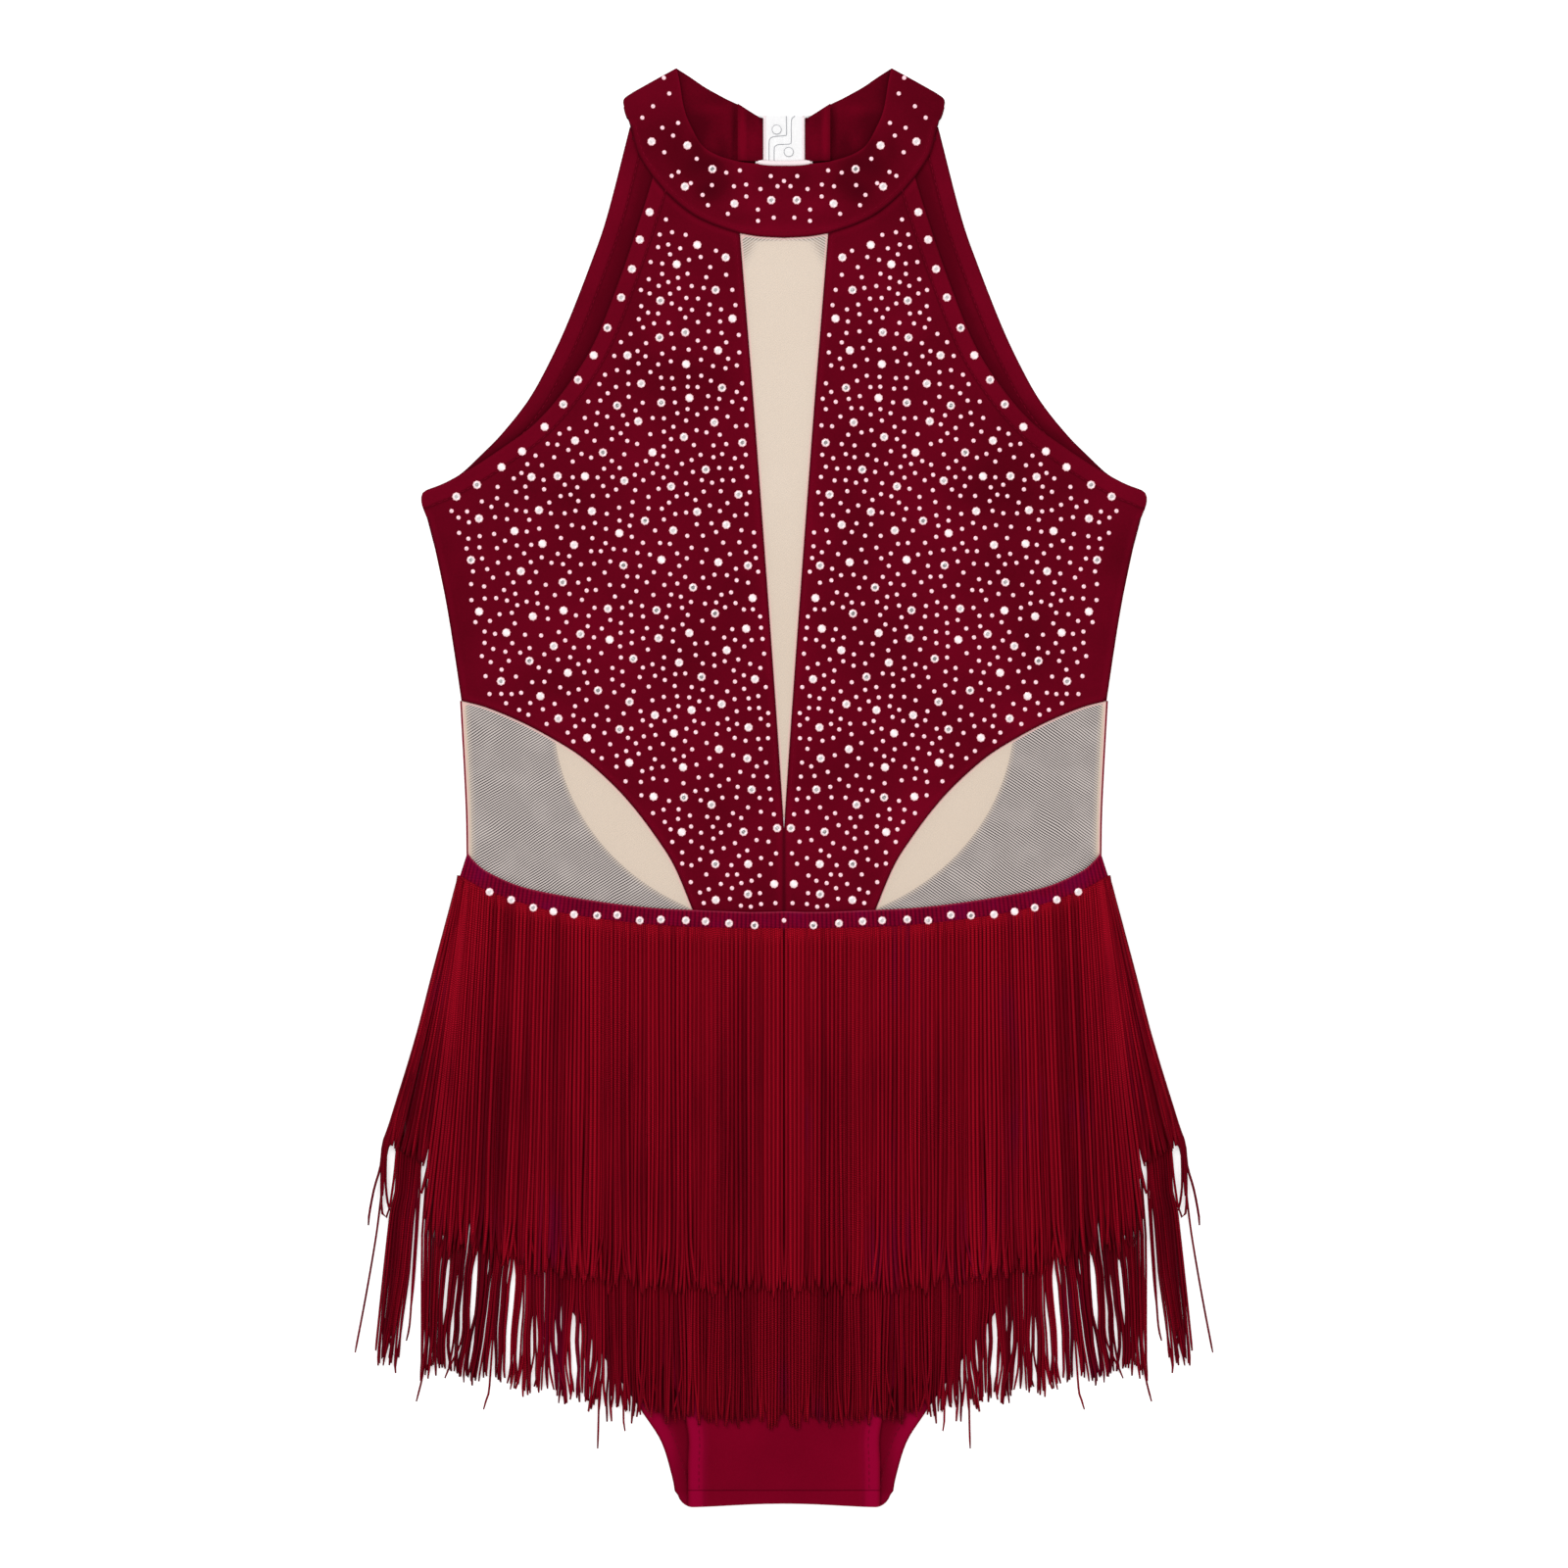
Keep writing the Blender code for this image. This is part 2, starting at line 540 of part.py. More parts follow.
def add_back_collars(parts):
    """Back stretches of the collar, whose ends fold back round the bars of the clasp."""
    low = CLASP_Y - BAND_END_HALF
    high = CLASP_Y + BAND_END_HALF
    neck = join(smooth(BACK_NECK_SEAM, NECK_CELLS), smooth(BAND_NECK_SEAM, BAND_NECK_CELLS))
    top = smooth(BACK_COLLAR_TOP, NECK_CELLS + BAND_NECK_CELLS)
    end = run_collar_end()
    inner = smooth((Mark(*neck[0]), Mark(*top[0])), len(end) - 1)
    flat = sheet(neck, end, top, inner)
    layer = CLOTH / 2
    outer_part = lift(flat, lambda x, y: np.full_like(x, layer))
    columns = []
    across = fractions(inner)
    first = outer_part[:, 0]
    # The lower layer narrows to the clasp slot, turns, and comes back over itself
    for part in (1.0, 0.5):
        x = LOOP_TURN_X + part * (LOOP_SEAM_X - LOOP_INSET - LOOP_TURN_X)
        lower = low + part * LOOP_NARROWING
        upper = high + part * (BACK_COLLAR_TOP[0].y - high)
        columns.append([(x, lower + t * (upper - lower), layer + 2 * LOOP_RADIUS) for t in across])
    for step in range(LOOP_STEPS + 1):
        angle = math.pi * step / LOOP_STEPS
        x = LOOP_TURN_X - LOOP_RADIUS * math.sin(angle)
        z = layer + LOOP_RADIUS * (1 + math.cos(angle))
        columns.append([(x, low + t * (high - low), z) for t in across])
    middle_x = (LOOP_TURN_X + LOOP_SEAM_X) / 2
    lower_mid = (low + first[0, 1]) / 2
    upper_mid = (high + first[-1, 1]) / 2
    columns.append([(middle_x, lower_mid + t * (upper_mid - lower_mid), layer) for t in across])
    loop = np.array(columns).transpose(1, 0, 2)
    points = np.concatenate([loop, outer_part], axis=1)
    cloth("collar_back_right", points, BURGUNDY, parts, middle=True)
    cloth("collar_back_left", mirrored(points), BURGUNDY, parts, middle=True)


def clasp_outline(side):
    """Return the outer corners of one clasp half about the clasp's centre, side being 1 or -1."""
    hooks = shifted(np.array(CLASP_STEPS), side * CLASP_GAP / 2)
    edge = [Mark(side * CLASP_OUTER_X, -CLASP_HALF_HEIGHT),
            Mark(side * CLASP_OUTER_X, CLASP_HALF_HEIGHT)]
    return [Mark(*corner) for corner in hooks] + edge


def add_flat_curve(name, outlines, thickness):
    """Make a filled flat curve, extruded, and return it as a mesh."""
    curve = bpy.data.curves.new(name, "CURVE")
    curve.dimensions = "2D"
    curve.fill_mode = "BOTH"
    curve.extrude = thickness / 2 * MM
    for outline in outlines:
        spline = curve.splines.new("POLY")
        spline.points.add(len(outline) - 1)
        for point, mark in zip(spline.points, outline):
            point.co = (mark.x * MM, mark.y * MM, 0.0, 1.0)
        spline.use_cyclic_u = True
    holder = bpy.data.objects.new(name + "_outline", curve)
    bpy.context.scene.collection.objects.link(holder)
    bpy.context.view_layer.update()
    graph = bpy.context.evaluated_depsgraph_get()
    mesh = bpy.data.meshes.new_from_object(holder.evaluated_get(graph))
    bpy.data.objects.remove(holder)
    bpy.data.curves.remove(curve)
    welded = bmesh.new()
    welded.from_mesh(mesh)
    bmesh.ops.remove_doubles(welded, verts=welded.verts, dist=0.01 * MM)
    welded.to_mesh(mesh)
    welded.free()
    return mesh


def add_clasp(parts, cutters):
    """Two halves of the clear clasp: a plate with a slot, a bar for the cloth loop and a pip."""
    thickness = 2 * LOOP_RADIUS - CLOTH - 2 * LAYER_GAP
    level = CLOTH / 2 + LOOP_RADIUS
    for side, name, pip in ((1, "clasp_right", RIGHT_PIP), (-1, "clasp_left", LEFT_PIP)):
        bar_inner = CLASP_OUTER_X - CLASP_BAR_WIDTH
        slot_inner = bar_inner - CLASP_SLOT_WIDTH
        slot = [Mark(side * slot_inner, -CLASP_SLOT_HALF), Mark(side * bar_inner, -CLASP_SLOT_HALF),
                Mark(side * bar_inner, CLASP_SLOT_HALF), Mark(side * slot_inner, CLASP_SLOT_HALF)]
        mesh = add_flat_curve(name, (clasp_outline(side), slot), thickness)
        piece = add_mesh(name, mesh, CLEAR_PLASTIC, parts)
        piece.location = (0.0, CLASP_Y * MM, level * MM)
        bpy.ops.mesh.primitive_cylinder_add(vertices=16, radius=PIP_RADIUS * MM,
                                            depth=(PIP_HEIGHT + thickness / 2) * MM)
        button = bpy.context.object
        button.name = name + "_pip"
        button.hide_render = True
        button.display_type = "WIRE"
        for holder in button.users_collection:
            holder.objects.unlink(button)
        cutters.objects.link(button)
        button.location = (pip.x * MM, (CLASP_Y + pip.y) * MM,
                           (level + (PIP_HEIGHT + thickness / 2) / 2) * MM)
        union = piece.modifiers.new("pip", "BOOLEAN")
        union.operation = "UNION"
        union.object = button


# Fringe

def brief_half(y):
    """Half width of the front brief at a height."""
    marks = sorted(FRONT_LEG + HIP_SIDE[1:], key=lambda mark: mark.y)
    return float(np.interp(y, [mark.y for mark in marks], [mark.x for mark in marks]))


def beyond_brief(x, y):
    """How far outside the front brief a point lies, sideways; negative inside."""
    return abs(x) - brief_half(y)


def rest_height(x, y):
    """Underside of a strand that lies on the brief and droops to the floor beyond it."""
    droop = min(max(beyond_brief(x, y) / DROOP_REACH, 0.0), 1.0)
    return TRIM_LEVEL + (FLOOR_GAP - TRIM_LEVEL) * droop


def find_level(path, root_y, end_y, beyond):
    """Return the first level down a strand where it lies that far beyond the brief, or None."""
    for y in np.linspace(root_y, end_y, 120):
        if beyond_brief(path(y), y) >= beyond:
            return float(y)
    return None


def strand_path(root, splay):
    """Return the strand's x as a function of y, below its root."""
    return lambda y: root[0] + splay * (root[1] - y)


def strand_end(ends, strays, x, index):
    """End level of a strand: along the tier's lower edge, scattered, or that of a stray."""
    for stray in strays:
        if abs(abs(x) - stray.x) < STRAY_REACH:
            return stray.y
    level = float(np.interp(abs(x), [mark.x for mark in ends], [mark.y for mark in ends]))
    return level + END_SCATTER * 0.5 * (math.sin(SCATTER_RATE * index) + math.sin(5.1 * index))


def heading_comb(top, foot):
    """Return a closed heading strip and the faces of its lower edge, from left to right."""
    strip = bmesh.new()
    bmesh.ops.create_grid(strip, x_segments=STRANDS, y_segments=1, size=1.0)
    for vert in strip.verts:
        column = round((vert.co.x + 1.0) / 2.0 * STRANDS)
        edge = top if vert.co.y > 0 else foot
        vert.co = (edge[column][0] * MM, edge[column][1] * MM, TRIM_LEVEL * MM)
    bmesh.ops.solidify(strip, geom=strip.faces[:], thickness=-STRAND_THICK * MM)
    bmesh.ops.recalc_face_normals(strip, faces=strip.faces[:])
    middles = (foot[1:] + foot[:-1]) / 2 * MM
    roots = [None] * STRANDS
    for face in strip.faces:
        centre = face.calc_center_median()
        away = np.hypot(middles[:, 0] - centre.x, middles[:, 1] - centre.y)
        nearest = int(np.argmin(away))
        if away[nearest] < ROOT_TOLERANCE * MM and abs(face.normal.z) < 0.5:
            roots[nearest] = face
    return strip, roots


def add_fringe(name, edges, ends, strays, power, tier, parts):
    """Comb of strands whose roots fuse into a heading strip."""
    top, foot = (both_sides(smooth(edge, STRANDS // 2)) for edge in edges)
    strip, faces = heading_comb(top, foot)
    roots = (foot[1:] + foot[:-1]) / 2
    reach = abs(roots[0][0])
    splays = SPLAY * np.sign(roots[:, 0]) * (np.abs(roots[:, 0]) / reach) ** power
    for index, face in enumerate(faces):
        path = strand_path(roots[index], splays[index])
        inner = index + 1 if index < STRANDS // 2 else index - 1
        beside = strand_path(roots[inner], splays[inner])
        order = min(index, STRANDS - 1 - index)
        guess = strand_end(ends, (), path(ends[0].y), order)
        end_y = strand_end(ends, strays, path(guess), order)
        for y, underside in strand_sections(path, roots[index][1] - ROOT_TAPER, end_y, tier):
            width = min(STRAND_FILL * abs(path(y) - beside(y)), STRAND_WIDEST)
            face = bmesh.ops.extrude_discrete_faces(strip, faces=[face])["faces"][0]
            shape_section(face, Mark(path(y), y), underside, width)
    mesh = bpy.data.meshes.new(name)
    strip.to_mesh(mesh)
    strip.free()
    return add_mesh(name, mesh, FRINGE_YARN, parts)


def strand_sections(path, taper_y, end_y, tier):
    """Level and underside of a strand's sections, below its root and down to its end."""
    lifted = TRIM_LEVEL + tier * TIER_RISE
    hip_y = HIP_SIDE[0].y
    edge_y = find_level(path, min(taper_y, hip_y), end_y, -STRAND_WIDEST)
    floor_y = find_level(path, min(taper_y, hip_y), end_y, DROOP_REACH)
    if edge_y is None:
        edge_y = (taper_y + end_y) / 2
    edge_y = max(edge_y, end_y + MIN_STEP)
    end_height = rest_height(path(end_y), end_y) + tier * TIER_RISE
    if tier:
        rise_y = LOWER_HEADING_TOP[-1].y + MIN_STEP
        return [(taper_y, TRIM_LEVEL), (rise_y, lifted), (edge_y, lifted), (end_y, end_height)]
    if floor_y is None or floor_y < end_y + MIN_STEP / 2:
        floor_y = (edge_y + end_y) / 2
    floor_height = rest_height(path(floor_y), floor_y)
    return [(taper_y, TRIM_LEVEL), (edge_y, lifted), (floor_y, floor_height),
            (end_y, end_height)]


def shape_section(face, place, underside, width):
    """Set the four corners of a strand's section, its low and high corners left and right."""
    centre = face.calc_center_median()
    corners = [(vert, vert.co.x > centre.x, vert.co.z > centre.z) for vert in face.verts]
    for vert, is_right, is_high in corners:
        across = width / 2 if is_right else -width / 2
        up = STRAND_THICK if is_high else 0.0
        vert.co = ((place.x + across) * MM, place.y * MM, (underside + up) * MM)


def main():
    """Build every piece of the leotard."""
    for thing in list(bpy.data.objects):
        bpy.data.objects.remove(thing)
    scene = bpy.context.scene
    parts = bpy.data.collections.new("Ballet_Leotard")
    cutters = bpy.data.collections.new("Cutters")
    scene.collection.children.link(parts)
    scene.collection.children.link(cutters)
    add_front_panels(parts)
    add_v_insert(parts)
    add_side_inserts(parts)
    add_front_brief(parts)
    add_back_brief(parts)
    add_back_pieces(parts)
    add_front_collar(parts)
    add_back_collars(parts)
    add_clasp(parts, cutters)
    add_fringe("fringe_lower", (LOWER_HEADING_TOP, LOWER_HEADING_FOOT), LOWER_ENDS,
               LOWER_STRAYS, LOWER_SPLAY_POWER, 0, parts)
    add_fringe("fringe_upper", (HEADING_TOP, HEADING_FOOT), UPPER_ENDS,
               UPPER_STRAYS, UPPER_SPLAY_POWER, 1, parts)


main()
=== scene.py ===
"""Looks of a ballet leotard with a halter collar and a two-tier fringe skirt, laid flat.

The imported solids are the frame, and every cloth piece here lies on the form of its solid. Tables
are in millimetres and describe the half with x above 0, because the garment mirrors left to
right; a pattern lists its marks as x and y in turn. Meshes are in metres, with the neck towards
+Y and the front up.
"""

import logging
import math
from dataclasses import dataclass
from enum import Enum
from typing import Callable, Dict, List, NamedTuple, Optional, Sequence, Tuple, Union

import bpy
import numpy as np
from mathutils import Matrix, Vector


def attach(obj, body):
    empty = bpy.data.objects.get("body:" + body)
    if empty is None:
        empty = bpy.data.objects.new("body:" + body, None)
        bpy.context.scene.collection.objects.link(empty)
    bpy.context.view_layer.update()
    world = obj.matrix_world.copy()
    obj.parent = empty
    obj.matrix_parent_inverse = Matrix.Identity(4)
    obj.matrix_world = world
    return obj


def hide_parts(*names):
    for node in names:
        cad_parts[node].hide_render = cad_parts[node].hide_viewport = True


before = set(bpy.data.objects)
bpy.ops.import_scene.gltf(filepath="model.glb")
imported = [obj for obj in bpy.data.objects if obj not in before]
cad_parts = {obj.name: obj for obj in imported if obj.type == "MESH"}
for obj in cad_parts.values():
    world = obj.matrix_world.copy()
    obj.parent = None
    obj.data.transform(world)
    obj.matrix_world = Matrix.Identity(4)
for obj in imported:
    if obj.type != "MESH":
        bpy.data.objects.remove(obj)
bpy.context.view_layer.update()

log = logging.getLogger("leotard")

MM = 0.001
MM_PER_METRE = 1000.0
BODY = "root"
KNIT_SLOT = "burgundy_knit"
NET_SLOT = "nude_net"
MIRROR = (-1.0, 1.0, 1.0)
TURN = 2 * math.pi
CURVE_STEPS = 12
MEASURE_CELLS = 24
Array = np.ndarray
Material = bpy.types.Material
Piece = bpy.types.Object
Colour = Tuple[float, float, float]
Height = Callable[[Array, Array], Array]


class Mark(NamedTuple):
    """A point of a pattern, in millimetres."""

    x: float
    y: float


Marks = Tuple[Mark, ...]


def pattern(*values: float) -> Marks:
    """Marks of a run, from their x and y in turn."""
    return tuple(Mark(float(x), float(y)) for x, y in zip(values[::2], values[1::2]))


def table(kind: type, *rows: Sequence[float]) -> tuple:
    """Records of one kind, from a row of numbers for each."""
    return tuple(kind(*row) for row in rows)


# Pattern of the leotard, with the same marks as its solids

TOP = 367.0
BOTTOM = -367.0
CLOTH = 1.0
KNIT_WALL = 0.8
CLASP_Y = 330.4
FAR = 1e3
FRONT_LEVEL = 1.3
TRIM_LEVEL = 2.6

NECKLINE = pattern(0, 317.5, 12, 318, 28, 320.4, 40.7, 326.7, 47.5, 337.5, 51, 346.8, 53.3, 360.5,
                   54.8, TOP)
COLLAR_SEAM_MIDDLE = pattern(0, 280.5, 12.5, 281.2, 22.5, 282.8)
COLLAR_SEAM_PANEL = pattern(22.5, 282.8, 37.1, 287.8, 48, 293.5, 58.8, 302.5, 66.8, 311.5)
COLLAR_SEAM_END = pattern(66.8, 311.5, 74.4, 323.5, 78.2, 337.5)
COLLAR_SEAM = (COLLAR_SEAM_MIDDLE, COLLAR_SEAM_PANEL, COLLAR_SEAM_END)
COLLAR_SIDE = pattern(78.2, 337.5, 81, 346.2)
COLLAR_CORNER = pattern(81, 346.2, 82, 348.9, 81.4, 351.6, 77.2, 354.6)
COLLAR_FOLD = pattern(77.2, 354.6, 66.5, 360.6, 54.8, TOP)
COLLAR_END = (COLLAR_SIDE, COLLAR_CORNER, COLLAR_FOLD)
V_TIP = -20.5
V_EDGE = pattern(0, V_TIP, 3.5, 32, 8.5, 102, 15.2, 192, 18, 227) + COLLAR_SEAM_MIDDLE[-1:]
FRONT_ARMHOLE = pattern(172, 156, 167, 158.7, 157, 164.4, 144.5, 172.7, 127, 185.7, 110.7, 204.5,
                        96.5, 227.5, 83, 261.5, 72, 294.5) + COLLAR_SEAM_PANEL[-1:]
SIDE_SEAM = pattern(164.5, 44.4, 168.1, 68.7, 171.8, 91.7, 176.7, 116.5, 182, 137.5)
UNDERARM = pattern(182, 137.5, 184.5, 143.8, 185, 147.8, 184, 150.8, 181, 152.4, 176.3, 154.1,
                   172, 156)
ARMHOLE = (UNDERARM[3:], FRONT_ARMHOLE)
WAIST_SIDE = pattern(161.2, -35.5, 161.5, -15, 162.5, 8, 164.5, 44.4)
INSERT_ARC = pattern(45.4, -65.2, 55.7, -40.5, 65.2, -25.3, 76.7, -10, 88.2, 2.5, 103.5, 15.9,
                     118.8, 25.5, 134.1, 33.6, 151.3, 40.8, 164.5, 44.4)
WAIST_MIDDLE = pattern(0, -65.8, 18.8, -66, 45.4, -65.2)
WAIST_OUTER = pattern(45.4, -65.2, 65.2, -64.3, 84.4, -62.3, 103.5, -59.5, 122.6, -56.1,
                      137, -52.3, 151.5, -45.6, 161.2, -35.5)
HIP_SIDE = pattern(177, -158, 175.2, -123, 169.3, -73) + WAIST_SIDE[:1]
CROTCH_HALF = 49.0
CROTCH_SEAM = -358.0
FRONT_LEG = pattern(CROTCH_HALF, CROTCH_SEAM, CROTCH_HALF, -345, CROTCH_HALF, -328, 55, -308,
                    75, -273, 110, -228, 150, -188) + HIP_SIDE[:1]
BACK_LEG = pattern(55.8, -358.5, 57.2, -351, 62.4, -334, 71.2, -320, 90, -293, 125, -243,
                   160, -193) + HIP_SIDE[:1]
BACK_ARMHOLE = pattern(172, 156, 164.4, 160.6, 154.6, 169.8, 143.8, 180.8, 130.5, 197.7,
                       120, 216.5, 110.3, 237.5, 98.6, 267.5, 90.2, 292, 78.6, 337.2)
BAND_FOOT = Mark(178.6, 124.5)
KEYHOLE_FOOT = Mark(45.4, -65.2)
KEYHOLE_HALF = 117.5
KEYHOLE_RISE = 108.0
KEYHOLE_LEVEL = 37.5
KEYHOLE_UPPER = pattern(KEYHOLE_HALF, KEYHOLE_LEVEL, 114, 62, 100, 107, 80, 152, 55, 202, 35, 242,
                        21.5, 267, 14.2, 283, 14.5, 318.3)
BACK_NECK_START = pattern(14.5, 318.3, 24, 316.2)
BACK_NECK_SEAM = pattern(24, 316.2, 36, 314.5, 48, 315.2, 59.5, 319.2)
BAND_NECK_SEAM = pattern(59.5, 319.2, 68.5, 326.3, 78.6, 337.2)
BACK_COLLAR_TOP = pattern(24, 348.8, 30, 351.7, 40, 357.2, 47.5, 362.3, 54.8, TOP)
HEADING_FOOT = pattern(0, -73, 47, -72.3, 84.4, -69.3, 122.6, -63.2, 151.5, -53.6, 165.8, -46)
HEADING_TOP = pattern(0, -62.9, 18.8, -63.2, 47, -62.1, 65.2, -61.2, 84.4, -59.2, 103.5, -56.4,
                      122.6, -53, 137, -49.2, 151.5, -42.5, 158, -37.2, 161.4, -33)
LOWER_HEADING_TOP = pattern(0, -125, 60, -124, 120, -120, 174, -112)
LOWER_HEADING_FOOT = tuple(Mark(mark.x, mark.y - 10.0) for mark in LOWER_HEADING_TOP)


class Side(Enum):
    """Which half of the garment a piece belongs to, as the sign of its x."""

    RIGHT = 1
    LEFT = -1

    @property
    def word(self) -> str:
        """Name of the side in a piece's name."""
        return self.name.lower()


class Row(Enum):
    """Row of strands in a tier, as its share of a pitch sideways and its drop in millimetres."""

    FRONT = (0.0, 0.0)
    BEHIND = (0.5, 0.75)

    @property
    def word(self) -> str:
        """Name of the row in a piece's name."""
        return self.name.lower()


# Drafting: runs of points and sheets between them


def smooth(marks: Marks, cells: int) -> Array:
    """Draw a smooth curve through marks.

    Args:
        marks: Marks that the curve passes.
        cells: Number of equal steps along it.

    Returns:
        The cells + 1 points of the curve.
    """
    points = np.array(marks, dtype=float)
    knots = np.vstack([2 * points[0] - points[1], points, 2 * points[-1] - points[-2]])
    dense = []
    for index in range(1, len(knots) - 2):
        start, begin, end, stop = knots[index - 1:index + 3]
        t = np.linspace(0.0, 1.0, CURVE_STEPS, endpoint=False)[:, None]
        dense.append(0.5 * (2 * begin + (end - start) * t
                            + (2 * start - 5 * begin + 4 * end - stop) * t ** 2
                            + (3 * begin - start - 3 * end + stop) * t ** 3))
    return resample(np.vstack(dense + [points[-1:]]), cells)


def resample(run: Array, cells: int) -> Array:
    """Space cells + 1 points evenly along a run.

    Args:
        run: Points of the run.
        cells: Number of equal steps.

    Returns:
        The cells + 1 points.
    """
    lengths = travelled(run)
    wanted = np.linspace(0.0, lengths[-1], cells + 1)
    return np.column_stack([np.interp(wanted, lengths, run[:, axis]) for axis in (0, 1)])


def travelled(run: Array) -> Array:
    """Length along a run up to each of its points."""
    steps = np.linalg.norm(np.diff(run, axis=0), axis=1)
    return np.concatenate([[0.0], np.cumsum(steps)])


def length_of(marks: Marks) -> float:
    """Length of the smooth curve through marks."""
    return travelled(smooth(marks, MEASURE_CELLS))[-1]


def draft(tables: Sequence[Marks], cells: int) -> Array:
    """Draw several tables end to end and keep the corners between them.

    Args:
        tables: Tables of marks, each starting where the last one stopped.
        cells: Number of steps in all.

    Returns:
        The cells + 1 points of the whole run.
    """
    lengths = np.array([length_of(marks) for marks in tables])
    shares = np.maximum(1, np.round(lengths / lengths.sum() * cells).astype(int))
    shares[int(np.argmax(lengths))] += cells - int(shares.sum())
    runs = [smooth(marks, int(share)) for marks, share in zip(tables, shares)]
    return np.vstack([runs[0]] + [run[1:] for run in runs[1:]])


def both_sides(run: Array) -> Array:
    """Continue a run that starts at x = 0 to the left by its mirror image."""
    return np.vstack([run[::-1] * MIRROR[:2], run[1:]])


def shifted(run: Array, distance: float) -> Array:
    """Move a run sideways, to the left of its direction when the distance is positive.

    Args:
        run: Points of the run.
        distance: How far it moves, in millimetres.

    Returns:
        The moved run, with as many points.
    """
    steps = np.diff(run, axis=0)
    steps /= np.linalg.norm(steps, axis=1)[:, None]
    sides = np.column_stack([-steps[:, 1], steps[:, 0]])
    middle = np.vstack([sides[:1], sides]) + np.vstack([sides, sides[-1:]])
    middle /= np.linalg.norm(middle, axis=1)[:, None]
    return run + distance * middle


def keyhole_arc(start: float, end: float, cells: int) -> Array:
    """Points on the lower arc of the open back, between two angles below its middle.

    Args:
        start: First angle, in radians.
        end: Last angle.
        cells: Number of steps.

    Returns:
        The cells + 1 points.
    """
    angles = np.linspace(start, end, cells + 1)
    return np.column_stack([KEYHOLE_HALF * np.cos(angles),
                            KEYHOLE_LEVEL - KEYHOLE_RISE * np.sin(angles)])


def fill(bottom: Array, right: Array, top: Array, left: Array) -> Array:
    """Fill four runs with a sheet of points.

    Args:
        bottom: Run to the right.
        right: Run upwards.
        top: Run to the right, with as many points as bottom.
        left: Run upwards, with as many points as right.

    Returns:
        Rows by columns by (x, y).
    """
    across, along = (sum(travelled(run) / travelled(run)[-1] for run in pair) / 2
                     for pair in ((bottom, top), (left, right)))
    return blend(bottom, right, top, left, across, along)


def blend(bottom: Array, right: Array, top: Array, left: Array,
          across: Array, along: Array) -> Array:
    """Blend four runs into a sheet of points.

    Args:
        bottom: Run to the right.
        right: Run upwards.
        top: Run to the right.
        left: Run upwards.
        across: Share of each column from left to right.
        along: Share of each row from bottom to top.

    Returns:
        Rows by columns by (x, y).
    """
    across, along = across[None, :, None], along[:, None, None]
    ruled_up = (1 - along) * bottom[None] + along * top[None]
    ruled_across = (1 - across) * left[:, None] + across * right[:, None]
    corners = ((1 - across) * (1 - along) * bottom[0] + across * (1 - along) * bottom[-1]
               + (1 - across) * along * top[0] + across * along * top[-1])
    return ruled_up + ruled_across - corners


def away_from(points: Array, runs: Sequence[Array]) -> Array:
    """Distance of each point from the nearest of some runs, in millimetres.

    Args:
        points: Points, with (x, y) as the last axis.
        runs: Runs of points.

    Returns:
        One distance for each point.
    """
    flat = points.reshape(-1, 2)
    nearest = np.full(len(flat), FAR)
    for run in runs:
        for begin, end in zip(run[:-1], run[1:]):
            step = end - begin
            t = np.clip((flat - begin) @ step / max(step @ step, 1e-9), 0.0, 1.0)
            nearest = np.minimum(nearest, np.linalg.norm(flat - begin - t[:, None] * step, axis=1))
    return nearest.reshape(points.shape[:-1])


def close_to(points: Array, runs: Sequence[Array], reach: float) -> Array:
    """Closeness of points to runs: 1 on them, and falling off over a reach in millimetres."""
    return np.exp(-(away_from(points, runs) / reach) ** 2)


def inside(points: Array, outline: Array) -> Array:
    """Tell for each point whether it is inside a closed outline.

    Args:
        points: Rows of (x, y).
        outline: Corners in order.

    Returns:
        True for each point inside.
    """
    x, y = points[:, 0], points[:, 1]
    hits = np.zeros(len(points), dtype=bool)
    for begin, end in zip(outline, np.roll(outline, -1, axis=0)):
        spans = (begin[1] > y) != (end[1] > y)
        rise = end[1] - begin[1]
        if rise:
            hits ^= spans & (x < begin[0] + (y - begin[1]) * (end[0] - begin[0]) / rise)
    return hits


def keyhole_edge(cells: int) -> Array:
    """Edge of the open back on the right half, from the waist up to the collar.

    Args:
        cells: Number of steps.

    Returns:
        The cells + 1 points.
    """
    scoop = keyhole_arc(math.acos(KEYHOLE_FOOT.x / KEYHOLE_HALF), 0.0, 40)
    scoop[0] = KEYHOLE_FOOT
    return resample(np.vstack([scoop, smooth(KEYHOLE_UPPER, 60)[1:]]), cells)


def over_back_net(points: Array) -> Array:
    """Distance that points on the right half lie onto the back's net; negative in its opening.

    Args:
        points: Points, with (x, y) as the last axis.

    Returns:
        One distance for each point, in millimetres.
    """
    edge = keyhole_edge(90)
    lower = keyhole_arc(math.pi / 2, math.acos(KEYHOLE_FOOT.x / KEYHOLE_HALF), 12)
    opening = np.vstack([lower, edge, [(-5.0, edge[-1, 1]), (-5.0, lower[0, 1])]])
    within = inside(points.reshape(-1, 2), opening).reshape(points.shape[:-1])
    return away_from(points, [edge]) * np.where(within, -1.0, 1.0)


def outline_of(bottom: Array, right: Array, top: Array, left: Array) -> Array:
    """Closed outline round four runs, with each corner once."""
    return np.vstack([bottom, right[1:], top[::-1][1:], left[::-1][1:-1]])


def outline_area(outline: Array) -> float:
    """Area of a closed outline, in square millimetres."""
    x, y = outline[:, 0], outline[:, 1]
    return abs(float(x @ np.roll(y, -1) - y @ np.roll(x, -1))) / 2


